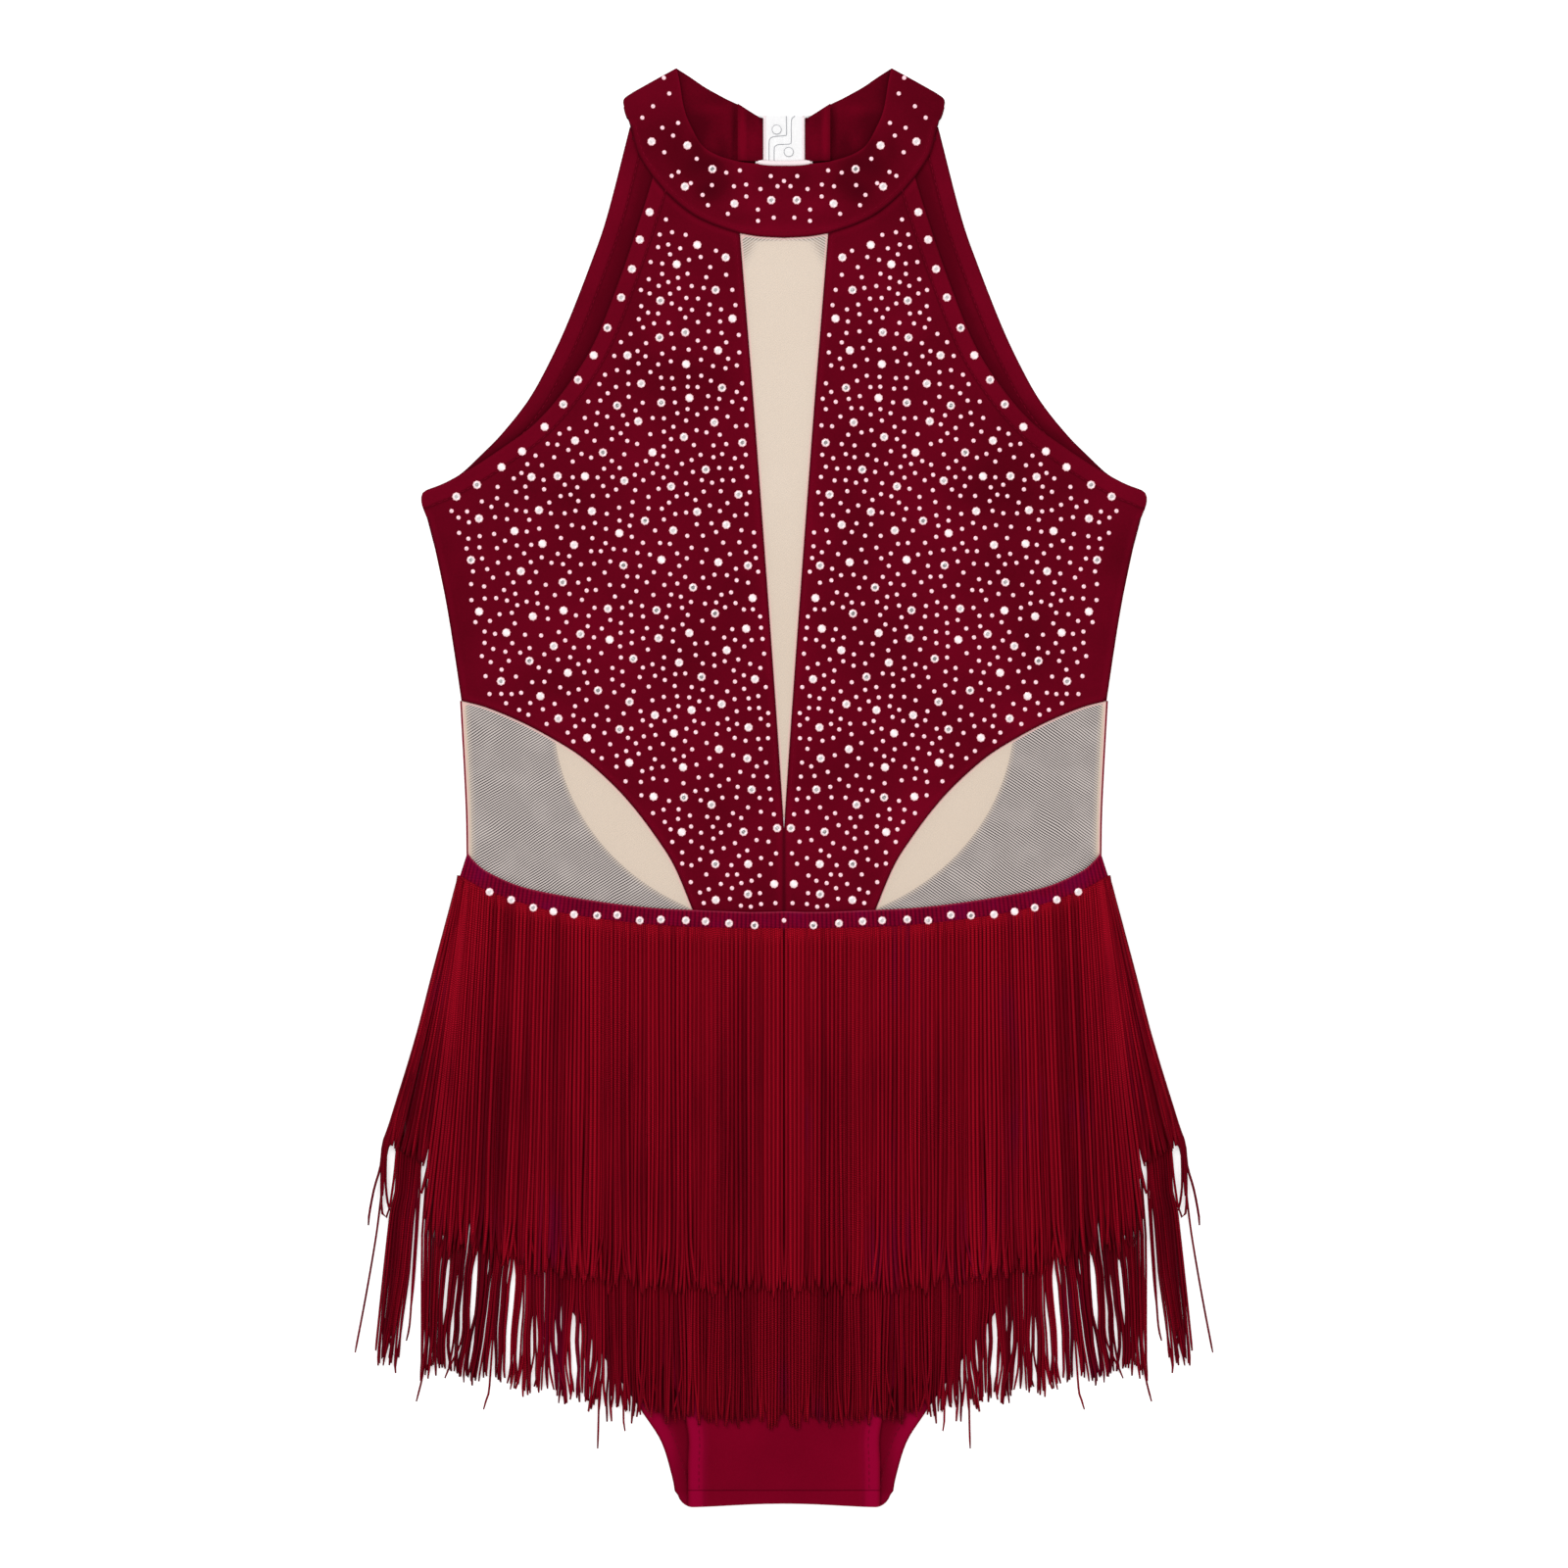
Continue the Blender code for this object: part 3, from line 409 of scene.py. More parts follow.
def cut_size(outline: Array) -> Tuple[float, float]:
    """Width and length of the smallest rectangle that a cut fits in, in metres.

    Args:
        outline: Outline of the cut, in millimetres.

    Returns:
        Its width and length.
    """
    best = np.ptp(outline, axis=0)
    for angle in np.radians(np.arange(1.0, 90.0)):
        turned = outline @ np.array([[math.cos(angle), -math.sin(angle)],
                                     [math.sin(angle), math.cos(angle)]])
        size = np.ptp(turned, axis=0)
        if size.prod() < best.prod():
            best = size
    return float(best.min()) * MM, float(best.max()) * MM


def share_of(values: Array, low: float, high: float) -> Array:
    """Share of the way from low to high, kept between 0 and 1."""
    return np.clip((values - low) / (high - low), 0.0, 1.0)


def eased(share: Array) -> Array:
    """Share with a soft start and end."""
    return share * share * (3 - 2 * share)


# Heights of the layers, in millimetres


class Crease(NamedTuple):
    """A soft trough or ridge along a line, with its height at the middle of its length."""

    x: float
    y: float
    end_x: float
    end_y: float
    width: float
    height: float


def crease_height(creases: Sequence[Crease], x: Array, y: Array) -> Array:
    """Sum of the creases' heights at points, fading out at the ends of each.

    Args:
        creases: Creases of the piece.
        x: The points' x, in millimetres.
        y: The points' y, in millimetres.

    Returns:
        The height at each point, in millimetres.
    """
    total = np.zeros_like(x)
    for crease in creases:
        run, rise = crease.end_x - crease.x, crease.end_y - crease.y
        t = ((x - crease.x) * run + (y - crease.y) * rise) / (run * run + rise * rise)
        side = ((x - crease.x) * rise - (y - crease.y) * run) / math.hypot(run, rise)
        fade = np.clip(4 * t * (1 - t), 0.0, 1.0)
        total += crease.height * fade * np.exp(-(side / crease.width) ** 2)
    return total


BODICE_CREASES = table(Crease, (150, 148, 96, 118, 9, 0.7), (158, 132, 112, 92, 8, -0.5),
                       (60, 250, 38, 170, 10, 0.6), (92, 210, 70, 120, 12, -0.4),
                       (30, 60, 52, -40, 11, 0.45), (130, 40, 70, 30, 9, -0.35))
COLLAR_CREASES = table(Crease, (46, 332, 30, 303, 4.2, -0.9), (36, 330, 22, 306, 3.6, 0.7),
                       (62, 345, 54, 316, 5, 0.6), (70, 352, 74, 330, 3.5, -0.6))
CROTCH_CREASES = table(Crease, (-36, -372, -31, -318, 2.6, 0.28),
                       (-24, -374, -26, -330, 2.2, -0.24), (-9, -372, -12, -316, 3.2, 0.26),
                       (6, -376, 4, -322, 2.4, -0.22), (19, -372, 22, -330, 2.8, 0.25),
                       (34, -374, 31, -320, 2.4, -0.24))
LINING_CREASES = table(Crease, (27, 352, 26, 312, 1.6, 0.5), (31.5, 354, 32, 318, 2.2, -0.35),
                       (40, 350, 66, 340, 4.5, 0.35), (38, 336, 62, 330, 4, -0.3))


def front_height(x: Array, y: Array) -> Array:
    """Underside of the front pieces: flat on the back, with a soft swell over the chest."""
    across, along = (np.abs(x) - 78.0) / 42.0, (y - 140.0) / 62.0
    return FRONT_LEVEL + 2.2 * np.exp(-(across ** 2 + along ** 2))


def bodice_height(x: Array, y: Array) -> Array:
    """Underside of the bodice, with its soft creases."""
    return front_height(x, y) + np.maximum(crease_height(BODICE_CREASES, np.abs(x), y), -0.4)


def collar_height(x: Array, y: Array) -> Array:
    """Underside of the front collar, which rolls up towards its middle.

    Args:
        x: The points' x, in millimetres.
        y: The points' y, in millimetres.

    Returns:
        The height at each point, in millimetres.
    """
    roll = share_of(y, 340.0, 300.0) * np.exp(-(x / 45.0) ** 2)
    seam = share_of(y, 281.0, 299.0)
    return (front_height(x, y) + 1.2 * roll * seam * (2 - seam)
            + crease_height(COLLAR_CREASES, np.abs(x), y) * seam)


def brief_height(x: Array, y: Array) -> Array:
    """Underside of the front brief, with the creases of its crotch."""
    return front_height(x, y) + crease_height(CROTCH_CREASES, x, y)


def flat_height(level: float) -> Height:
    """Height function of a piece that lies flat at a level."""
    return lambda x, y: np.full_like(x, level)


def above(height: Height, rise: float) -> Height:
    """Height function that runs a distance above another."""
    return lambda x, y: height(x, y) + rise


class Spot(NamedTuple):
    """A soft darker spot, or a lighter one where its depth is negative."""

    x: float
    y: float
    across: float
    along: float
    depth: float


EDGE_REACH = 0.9
COLLAR_SPOTS = table(Spot, (37, 318, 7, 5, 0.9), (31, 309, 8, 7, 0.6), (44, 327, 4, 7, 0.7),
                     (9, 311, 6, 5, 0.3), (47, 316, 6, 7, 0.7), (38.5, 304, 6, 5.5, 1),
                     (55, 327, 5, 9, 0.5), (18, 297, 12, 4, -0.3), (72, 346, 4, 9, -0.1),
                     (10, 285, 30, 3, -0.4))
BODICE_SPOTS = table(Spot, (62, 200, 16, 24, 0.12), (110, 150, 34, 10, 0.25),
                     (40, 120, 14, 40, 0.1), (82, 85, 14, 45, -0.22), (150, 105, 9, 34, -0.1),
                     (117, 36, 15, 12, -0.45), (10, 150, 10, 130, -0.22), (63, 234, 10, 12, -0.3),
                     (66, -24, 14, 24, -0.4), (24, -40, 16, 20, -0.15))
LINING_SPOTS = table(Spot, (21.6, 333, 1.5, 13, -0.9), (25.6, 334, 1.3, 14, 0.6),
                     (17, 342, 3, 6, 0.3), (15, 330, 3.5, 6, -0.25), (38, 346, 9, 3, -0.35),
                     (44, 338, 6, 9, 0.45), (31, 328, 4, 7, 0.4), (11.6, 341, 1, 2.5, 0.8))


def shade_of(spots: Sequence[Spot], x: Array, y: Array) -> Array:
    """Sum of soft spots at points."""
    return sum(spot.depth * np.exp(-((x - spot.x) / spot.across) ** 2
                                   - ((y - spot.y) / spot.along) ** 2) for spot in spots)


def bodice_shade(x: Array, y: Array) -> Array:
    """Shade of the bodice, whose very edge along the armhole catches the light."""
    edge = close_to(np.dstack([x, y]), [draft(ARMHOLE, 60)], EDGE_REACH)
    return shade_of(BODICE_SPOTS, x, y) - 0.35 * edge


def collar_shade(x: Array, y: Array) -> Array:
    """Shade of the front collar, whose neckline catches the light."""
    edge = close_to(np.dstack([x, y]), [smooth(NECKLINE, 50)], EDGE_REACH)
    return shade_of(COLLAR_SPOTS, x, y) - 0.7 * edge


def band_shade(x: Array, y: Array) -> Array:
    """Shade of the armhole band, which is dark beside the front's edge."""
    return 0.75 * close_to(np.dstack([x, y]), [draft(ARMHOLE, 60)], 6.0)


def lining_shade(x: Array, y: Array) -> Array:
    """Shade inside the back collar: dark beside the front's edge, light along its soft folds."""
    edge = close_to(np.dstack([x, y]), [smooth(NECKLINE, 50)], 3.0)
    return 0.35 * edge + shade_of(LINING_SPOTS, x, y)


# Shader maths


class Signal:
    """A number that a shader works out, so that sums and products read as plain arithmetic."""

    def __init__(self, paint: "Paint", socket: bpy.types.NodeSocket) -> None:
        """Wrap an output socket of a paint's node tree."""
        self.paint = paint
        self.socket = socket

    def maths(self, operation: str, *values: "Number") -> "Signal":
        """Add a Math node.

        Args:
            operation: The node's operation.
            values: Its inputs in order, this signal among them.

        Returns:
            The node's result.
        """
        node = self.paint.node("ShaderNodeMath", {"operation": operation}, dict(enumerate(values)))
        return Signal(self.paint, node.outputs[0])

    def __add__(self, other: "Number") -> "Signal":
        """Sum with a number or signal."""
        return self.maths("ADD", self, other)

    __radd__ = __add__

    def __sub__(self, other: "Number") -> "Signal":
        """Difference from a number or signal."""
        return self.maths("SUBTRACT", self, other)

    def __rsub__(self, other: "Number") -> "Signal":
        """A number less this signal."""
        return self.maths("SUBTRACT", other, self)

    def __mul__(self, other: "Number") -> "Signal":
        """Product with a number or signal."""
        return self.maths("MULTIPLY", self, other)

    __rmul__ = __mul__

    def __truediv__(self, other: "Number") -> "Signal":
        """Quotient by a number or signal."""
        return self.maths("DIVIDE", self, other)

    def __abs__(self) -> "Signal":
        """Magnitude of this signal."""
        return self.maths("ABSOLUTE", self)

    def sine(self) -> "Signal":
        """Sine of this signal, in radians."""
        return self.maths("SINE", self)

    def fraction(self) -> "Signal":
        """Part of this signal after the decimal point."""
        return self.maths("FRACT", self)

    def largest(self, other: "Number") -> "Signal":
        """Larger of this signal and another value."""
        return self.maths("MAXIMUM", self, other)

    def ramp(self, low: float, high: float) -> "Signal":
        """Rise smoothly from 0 at low to 1 at high, or fall where low is the larger.

        Args:
            low: Value where the rise starts.
            high: Value where it ends.

        Returns:
            The risen signal.
        """
        if low > high:
            return 1.0 - self.ramp(high, low)
        node = self.paint.node(
            "ShaderNodeMapRange", {"interpolation_type": "SMOOTHSTEP"},
            {"Value": self, "From Min": low, "From Max": high, "To Min": 0.0, "To Max": 1.0})
        return Signal(self.paint, node.outputs[0])


Number = Union[float, Signal]
Feed = Union[float, Sequence[float], Signal, bpy.types.NodeSocket]


class Paint:
    """Node tree of one material on a Principled shader."""

    def __init__(self, name: str) -> None:
        """Make the material with its shader and nothing else.

        Args:
            name: Name of the material.
        """
        self.material = bpy.data.materials.new(name)
        self.material.use_nodes = True
        self.tree = self.material.node_tree
        self.shader = self.tree.nodes["Principled BSDF"]

    def node(self, kind: str, settings: Dict[str, object], inputs: Dict[object, Feed]
             ) -> bpy.types.Node:
        """Add a node.

        Args:
            kind: Type of the node.
            settings: Properties that are set first.
            inputs: Values or links of its sockets, by name or number.

        Returns:
            The new node.
        """
        node = self.tree.nodes.new(kind)
        for key, value in settings.items():
            setattr(node, key, value)
        for key, value in inputs.items():
            self.connect(value, node.inputs[key])
        return node

    def connect(self, value: Feed, socket: bpy.types.NodeSocket) -> None:
        """Link one input socket to a signal or a node's output, or set its value.

        Args:
            value: A signal, a node's output or a constant.
            socket: Input that takes it.
        """
        if isinstance(value, (Signal, bpy.types.NodeSocket)):
            self.tree.links.new(getattr(value, "socket", value), socket)
        elif socket.type == "RGBA" and len(value) == 3:
            socket.default_value = (*value, 1.0)
        else:
            socket.default_value = value

    def spot(self) -> bpy.types.NodeSocket:
        """Place on the garment, in metres."""
        return self.node("ShaderNodeTexCoord", {}, {}).outputs["Object"]

    def split(self, vector: bpy.types.NodeSocket) -> Tuple[Signal, Signal, Signal]:
        """Three parts of a vector."""
        node = self.node("ShaderNodeSeparateXYZ", {}, {0: vector})
        return tuple(Signal(self, out) for out in node.outputs)

    def place(self) -> Tuple[Signal, Signal, Signal]:
        """Place on the garment, as x, y and z in millimetres."""
        return tuple(part * MM_PER_METRE for part in self.split(self.spot()))

    def attribute(self, name: str) -> Signal:
        """Number that the mesh holds under a name."""
        return Signal(self, self.node("ShaderNodeAttribute", {"attribute_name": name}, {})
                      .outputs["Fac"])

    def parts(self, name: str) -> Tuple[Signal, Signal, Signal]:
        """Three numbers that the mesh holds under a name."""
        node = self.node("ShaderNodeAttribute", {"attribute_name": name}, {})
        return self.split(node.outputs["Vector"])

    def noise(self, scale: float, detail: float = 2.0, stretch: Sequence[float] = (1.0, 1.0, 1.0)
              ) -> Signal:
        """Soft noise over the garment.

        Args:
            scale: Size of its patches, in millimetres.
            detail: Number of finer layers.
            stretch: How much longer the patches are along each axis.

        Returns:
            The noise, about 0.5.
        """
        factors = [1.0 / (MM * scale * share) for share in stretch]
        scaled = self.node("ShaderNodeVectorMath", {"operation": "MULTIPLY"},
                           {0: self.spot(), 1: factors})
        node = self.node("ShaderNodeTexNoise", {},
                         {"Vector": scaled.outputs[0], "Scale": 1.0, "Detail": detail})
        return Signal(self, node.outputs[0])

    def mix(self, share: Number, first: Feed, second: Feed) -> bpy.types.NodeSocket:
        """Blend two colours by a share from 0 to 1.

        Args:
            share: Share of the second colour.
            first: Colour at 0.
            second: Colour at 1.

        Returns:
            The blend's output.
        """
        node = self.node("ShaderNodeMix", {"data_type": "RGBA", "clamp_factor": True},
                         {0: share, 6: first, 7: second})
        return node.outputs[2]

    def feed(self, **inputs: Feed) -> None:
        """Connect what changes over the surface, by the shader's socket names."""
        for key, value in inputs.items():
            self.connect(value, self.shader.inputs[key.replace("_", " ")])

    def constants(self, values: Dict[str, Feed]) -> None:
        """Set what is the same all over the surface."""
        for key, value in values.items():
            self.connect(value, self.shader.inputs[key])

    def relief(self, height: Signal, distance: float) -> None:
        """Bump the surface by a height from 0 to 1 that stands for a distance in metres.

        Args:
            height: Height from 0 to 1.
            distance: What 1 stands for, in metres.
        """
        bump = self.node("ShaderNodeBump", {}, {"Strength": 1.0, "Distance": distance,
                                                "Height": height})
        self.feed(Normal=bump.outputs["Normal"])


# Finishes

DEEP_RED: Colour = (1.0, 0.02, 0.10)
RED_CLOTH = {"Sheen Weight": 0.03, "Sheen Tint": DEEP_RED, "Specular Tint": DEEP_RED}


@dataclass(frozen=True)
class StretchKnit:
    """Burgundy stretch knit: fine ribs, a soft sheen, ridged hems and sunk seams, with painted
    highlight and shade.
    """

    name: str
    deep: Colour = (0.078, 0.0007, 0.0054)
    light: Colour = (0.146, 0.0012, 0.0108)
    seam_line: Colour = (0.030, 0.0003, 0.0030)
    pleats: float = 0.0
    hem_colour: Colour = (0.300, 0.0008, 0.0330)
    hem_share: float = 0.0
    seam_share: float = 0.6

    def make(self) -> Material:
        """Build the material.

        Returns:
            The material.
        """
        paint = Paint(self.name)
        x, y, _ = paint.place()
        seam, hem = paint.attribute("seam_mm"), paint.attribute("hem_mm")
        shade = paint.attribute("shade")
        cloudy = paint.noise(46.0, 3.0)
        grain = paint.noise(1.3, 3.0)
        ribs = (x * (TURN / 0.6)).sine() * (y * (TURN / 0.5)).sine()
        ridge = hem.ramp(0.0, 1.2) * hem.ramp(8.6, 6.8)
        groove = hem.ramp(7.4, 8.3) * hem.ramp(9.6, 8.7)
        sunk = seam.ramp(1.2, 0.0)
        rolled = seam.ramp(0.6, 1.8) * seam.ramp(4.6, 2.4)
        tone = (cloudy - 0.5) * 1.5 + (grain - 0.5) * 0.5 + 0.42
        # Painted highlight on the hem ridges and rolled seam edges; painted shade in the hem
        # grooves and wherever the shade attribute is set.
        tone = tone + ridge * 0.34 + rolled * 0.22 - groove * 0.45 - shade
        colour = paint.mix(tone, self.deep, self.light)
        # Dark along the seams: partly the seam's own dark joint, partly painted shade in its sunk
        # groove; the same dark is painted as shade where the shade attribute is strong.
        colour = paint.mix(sunk.largest(shade - 0.4) * self.seam_share, colour, self.seam_line)
        if self.hem_share:
            turned = hem.ramp(-0.5, 2.5) * hem.ramp(11.5, 4.5)
            colour = paint.mix(turned * self.hem_share * (1.0 - shade), colour, self.hem_colour)
        height = grain * 0.35 + ribs * 0.12 + ridge + rolled * 0.6 - groove * 0.6 - sunk * 0.8
        if self.pleats:
            folds = paint.noise(5.0, 2.0, (1.0, 9.0, 1.0))
            height = height + folds * self.pleats
        paint.feed(Base_Color=colour, Roughness=0.62 + grain * 0.16)
        paint.constants({**RED_CLOTH, "Sheen Roughness": 0.4, "Specular IOR Level": 0.2})
        paint.relief(height, 0.00022)
        return paint.material


@dataclass(frozen=True)
class NudeNet:
    """Fine see-through net, which shows diagonal lines where two layers lie together; their dark
    lines are partly painted shade.
    """

    name: str
    thread: Colour = (0.675, 0.558, 0.452)
    worn_thread: Colour = (0.635, 0.515, 0.405)
    low_thread: Colour = (0.595, 0.465, 0.35)
    pale_line: Colour = (0.64, 0.565, 0.53)
    dark_line: Colour = (0.065, 0.056, 0.058)
    edge: Colour = (0.80, 0.50, 0.46)
    cover: float = 0.86
    pitch: float = 1.2
    rise: float = 0.58

    def make(self) -> Material:
        """Build the material.

        Returns:
            The material.
        """
        paint = Paint(self.name)
        x, y, _ = paint.place()
        side = abs(x)
        wander, cloudy = paint.noise(30.0, 2.0), paint.noise(18.0, 3.0)
        seam, double = paint.attribute("seam_mm"), paint.attribute("double_mm")
        twice = double.ramp(-0.4, 0.6)
        run = y * math.cos(self.rise) + side * math.sin(self.rise) + wander * 3.0
        cross = (y * math.sin(self.rise) - side * math.cos(self.rise)) / (self.pitch * 0.9)
        warp = abs((run / self.pitch).fraction() - 0.5) * 2.0
        weft = abs(cross.fraction() - 0.5) * 2.0
        line = (warp * 0.84 + weft * 0.16).ramp(0.36, 0.64)
        # Where the two layers' threads fall out of step the hatch is dark: a pattern of the
        # layers, darkened as painted shade between them.
        hatch = paint.mix(line, self.pale_line, self.dark_line)
        hatch = paint.mix((cloudy - 0.46) * 0.7, hatch, self.pale_line)
        # The thread is darker in soft cloudy patches.
        plain = paint.mix((cloudy - 0.3) * 0.5, self.thread, self.worn_thread)
        plain = paint.mix(y.ramp(170.0, 60.0) * 0.4, plain, self.low_thread)
        rim = seam.ramp(1.3, 0.8)
        fold = double.ramp(3.0, 0.0) * twice * 0.35
        colour = paint.mix(twice * (1.0 - fold), plain, hatch)
        colour = paint.mix(rim * 0.75, colour, self.edge)
        paint.feed(Base_Color=colour, Alpha=(self.cover + twice * 0.12).largest(rim),
                   Roughness=0.6 + cloudy * 0.2)
        paint.constants({"Sheen Weight": 0.08, "Specular IOR Level": 0.15})
        paint.relief(warp * 0.5 + weft * 0.5, 0.0001)
        return paint.material


@dataclass(frozen=True)
class ChainetteYarn:
    """Shiny chain-stitched yarn, with its own tone in each strand, painted highlights on its loops
    and painted shade along its sides.
    """

    name: str
    valley: Colour = (0.060, 0.0002, 0.0036)
    body: Colour = (0.270, 0.0012, 0.0080)
    crest: Colour = (0.540, 0.0070, 0.0240)
    violet: Colour = (0.085, 0.0004, 0.0240)
    base_light: float = 0.27
    pitch: float = 1.15

    def make(self) -> Material:
        """Build the material.

        Returns:
            The material.
        """
        paint = Paint(self.name)
        tone, across, along = paint.parts("yarn")
        flat = abs(across)
        loops = ((along + flat * 0.55) * (TURN / self.pitch)).sine()
        streak = paint.noise(7.0, 2.0, (0.35, 6.0, 1.0))
        cloud = paint.noise(45.0, 2.0, (1.0, 2.0, 1.0))
        light = tone * 0.5 + (streak - 0.5) * 0.45 + (cloud - 0.5) * 0.4 + self.base_light
        x, y, _ = paint.place()
        light = light + y.ramp(-170.0, -75.0) * 0.16 - abs(x).ramp(115.0, 165.0) * 0.14
        colour = paint.mix(light, self.valley, self.body)
        # Painted highlight on the crest of each chain loop, in the middle of the strand.
        spot = loops.ramp(0.1, 0.9) * flat.ramp(0.8, 0.3) * light.ramp(0.2, 0.8)
        colour = paint.mix(spot * 0.85, colour, self.crest)
        # Painted shade along the sides of each strand, where it turns down between its neighbours.
        colour = paint.mix(flat.ramp(0.5, 1.0) * 0.8, colour, self.valley)
        purple = cloud.ramp(0.56, 0.72) * tone.ramp(0.7, 0.2)
        colour = paint.mix(purple * 0.5, colour, self.violet)
        paint.feed(Base_Color=colour, Roughness=0.5 - spot * 0.12)
        paint.constants({**RED_CLOTH, "Specular IOR Level": 0.3})
        paint.relief(loops * 0.5 - flat * 0.3, 0.0003)
        return paint.material


@dataclass(frozen=True)
class RibbedTrim:
    """Knitted heading of the fringe, slightly purple and dark between its ribs, the dark being
    painted shade.
    """

    name: str
    rib: Colour = (0.215, 0.0012, 0.0200)
    groove: Colour = (0.070, 0.0003, 0.0110)
    violet: Colour = (0.105, 0.0006, 0.0340)
    top_line: Colour = (0.40, 0.030, 0.075)

    def make(self) -> Material:
        """Build the material.

        Returns:
            The material.
        """
        paint = Paint(self.name)
        rise = paint.attribute("rib")
        top = paint.attribute("seam_mm")
        x, y, _ = paint.place()
        grain = paint.noise(1.6, 3.0)
        patch = paint.noise(16.0, 2.0)
        knots = ((y + x * 0.1) * (TURN / 1.4)).sine()
        # The ribs and their knots are lighter and the grooves between them darker: painted
        # highlight and painted shade.
        tone = rise * 0.8 + (grain - 0.5) * 0.6 + (patch - 0.5) * 0.9 + knots * rise * 0.12
        colour = paint.mix(tone, self.groove, self.rib)
        colour = paint.mix(patch.ramp(0.5, 0.7) * 0.45, colour, self.violet)
        colour = paint.mix(top.ramp(1.0, 0.3) * 0.5, colour, self.top_line)
        paint.feed(Base_Color=colour, Roughness=0.62 + grain * 0.15)
        paint.constants({**RED_CLOTH, "Specular IOR Level": 0.22})
        paint.relief(grain * 0.4 + knots * 0.35, 0.0002)
        return paint.material


@dataclass(frozen=True)
class CrystalStone:
    """Foiled rhinestone: a bright ring of facets round a greyer table; the grey and the pink rim
    are painted reflections, and the stone glows faintly as painted light.
    """

    name: str
    bright: Colour = (0.98, 0.88, 0.89)
    small_bright: Colour = (1.0, 0.70, 0.77)
    table: Colour = (0.12, 0.105, 0.105)
    rim: Colour = (0.95, 0.34, 0.42)
    glint: Colour = (0.97, 0.94, 0.94)
    cloth_glow: Colour = (1.0, 0.02, 0.08)

    def make(self) -> Material:
        """Build the material.

        Returns:
            The material.
        """
        paint = Paint(self.name)
        radius, shade, size = paint.parts("stone")
        glints = paint.noise(0.9, 1.0)
        centre = radius.ramp(0.62, 0.36) * (shade * 1.2 - 0.1) * (size * 0.8 + 0.2)
        colour = paint.mix(size, self.small_bright, self.bright)
        # The greyer table is a painted reflection.
        colour = paint.mix(centre, colour, self.table)
        colour = paint.mix(glints.ramp(0.54, 0.66) * (0.6 - radius * 0.4) * size, colour,
                           self.glint)
        # The pink rim is a painted reflection of the red cloth round the stone.
        colour = paint.mix(radius.ramp(0.72, 1.0) * 0.85, colour, self.rim)
        # The stones glow faintly: painted light, white at the middle and the red of the cloth at
        # the rim.
        glow = paint.mix(radius.ramp(0.3, 0.9), self.bright, self.cloth_glow)
        paint.feed(Base_Color=colour, Roughness=0.16 + glints * 0.15,
                   Metallic=0.2 + radius * 0.1, Emission_Color=glow)
        paint.constants({"Coat Weight": 0.4, "Coat Roughness": 0.05, "Emission Strength": 0.1})
        return paint.material


@dataclass(frozen=True)
class ClearPlastic:
    """Clear moulded plastic, near white, with greyer edges that are painted shade."""

    name: str
    tint: Colour = (0.96, 0.955, 0.96)
    rim: Colour = (0.68, 0.69, 0.72)
    cover: float = 0.85

    def make(self) -> Material:
        """Build the material.

        Returns:
            The material.
        """
        paint = Paint(self.name)
        edge = Signal(paint, paint.node("ShaderNodeLayerWeight", {}, {"Blend": 0.35})
                      .outputs["Facing"])
        haze = paint.noise(2.5, 2.0)
        # Painted shade: greyer where the surface turns away from view.
        colour = paint.mix(edge.ramp(0.25, 0.8), self.tint, self.rim)
        paint.feed(Base_Color=colour, Alpha=self.cover + edge.ramp(0.25, 0.8) * 0.5 + haze * 0.1,
                   Roughness=0.08 + haze * 0.1)
        paint.constants({"IOR": 1.49, "Coat Weight": 0.3})
        return paint.material


@dataclass(frozen=True)
class SewingThread:
    """Twisted sewing thread."""

    name: str
    colour: Colour = (0.26, 0.004, 0.022)
    dark: Colour = (0.11, 0.001, 0.010)

    def make(self) -> Material:
        """Build the material.

        Returns:
            The material.
        """
        paint = Paint(self.name)
        x, y, _ = paint.place()
        twist = ((x + y) * (TURN / 0.35)).sine()
        # The twist shows as lighter and darker bands: painted highlight on the plies and painted
        # shade between them.
        paint.feed(Base_Color=paint.mix(twist * 0.5 + 0.5, self.dark, self.colour),
                   Roughness=0.55 + twist * 0.05)
        paint.constants({"Specular IOR Level": 0.25, "Specular Tint": DEEP_RED})
        paint.relief(twist * 0.5, 0.00005)
        return paint.material


@dataclass(frozen=True)
class PaleFloor:
    """Plain pale studio floor."""

    name: str = "studio_floor"
    colour: Colour = (0.93, 0.93, 0.93)
    glow: float = 0.45

    def make(self) -> Material:
        """Build the material.

        Returns:
            The material.
        """
        paint = Paint(self.name)
        paint.feed(Base_Color=(*self.colour, 1.0))
        paint.constants({"Roughness": 0.9, "Specular IOR Level": 0.1,
                         "Emission Color": (1.0, 1.0, 1.0), "Emission Strength": self.glow})
        return paint.material


# Making meshes


def add_piece(name: str, vertices: Array, faces: Sequence[Sequence[int]],
              finish: Material) -> Piece:
    """Make a piece of vertices in millimetres and let it ride on the garment.

    Args:
        name: Name of the piece.
        vertices: Its points, in millimetres.
        faces: Its faces.
        finish: Its material.

    Returns:
        The new object.
    """
    mesh = bpy.data.meshes.new(name)
    mesh.from_pydata((np.asarray(vertices) * MM).tolist(), [], list(faces))
    mesh.materials.append(finish)
    mesh.update()
    piece = bpy.data.objects.new(name, mesh)
    bpy.context.scene.collection.objects.link(piece)
    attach(piece, BODY)
    log.info("%s: %d faces", name, len(mesh.polygons))
    return piece


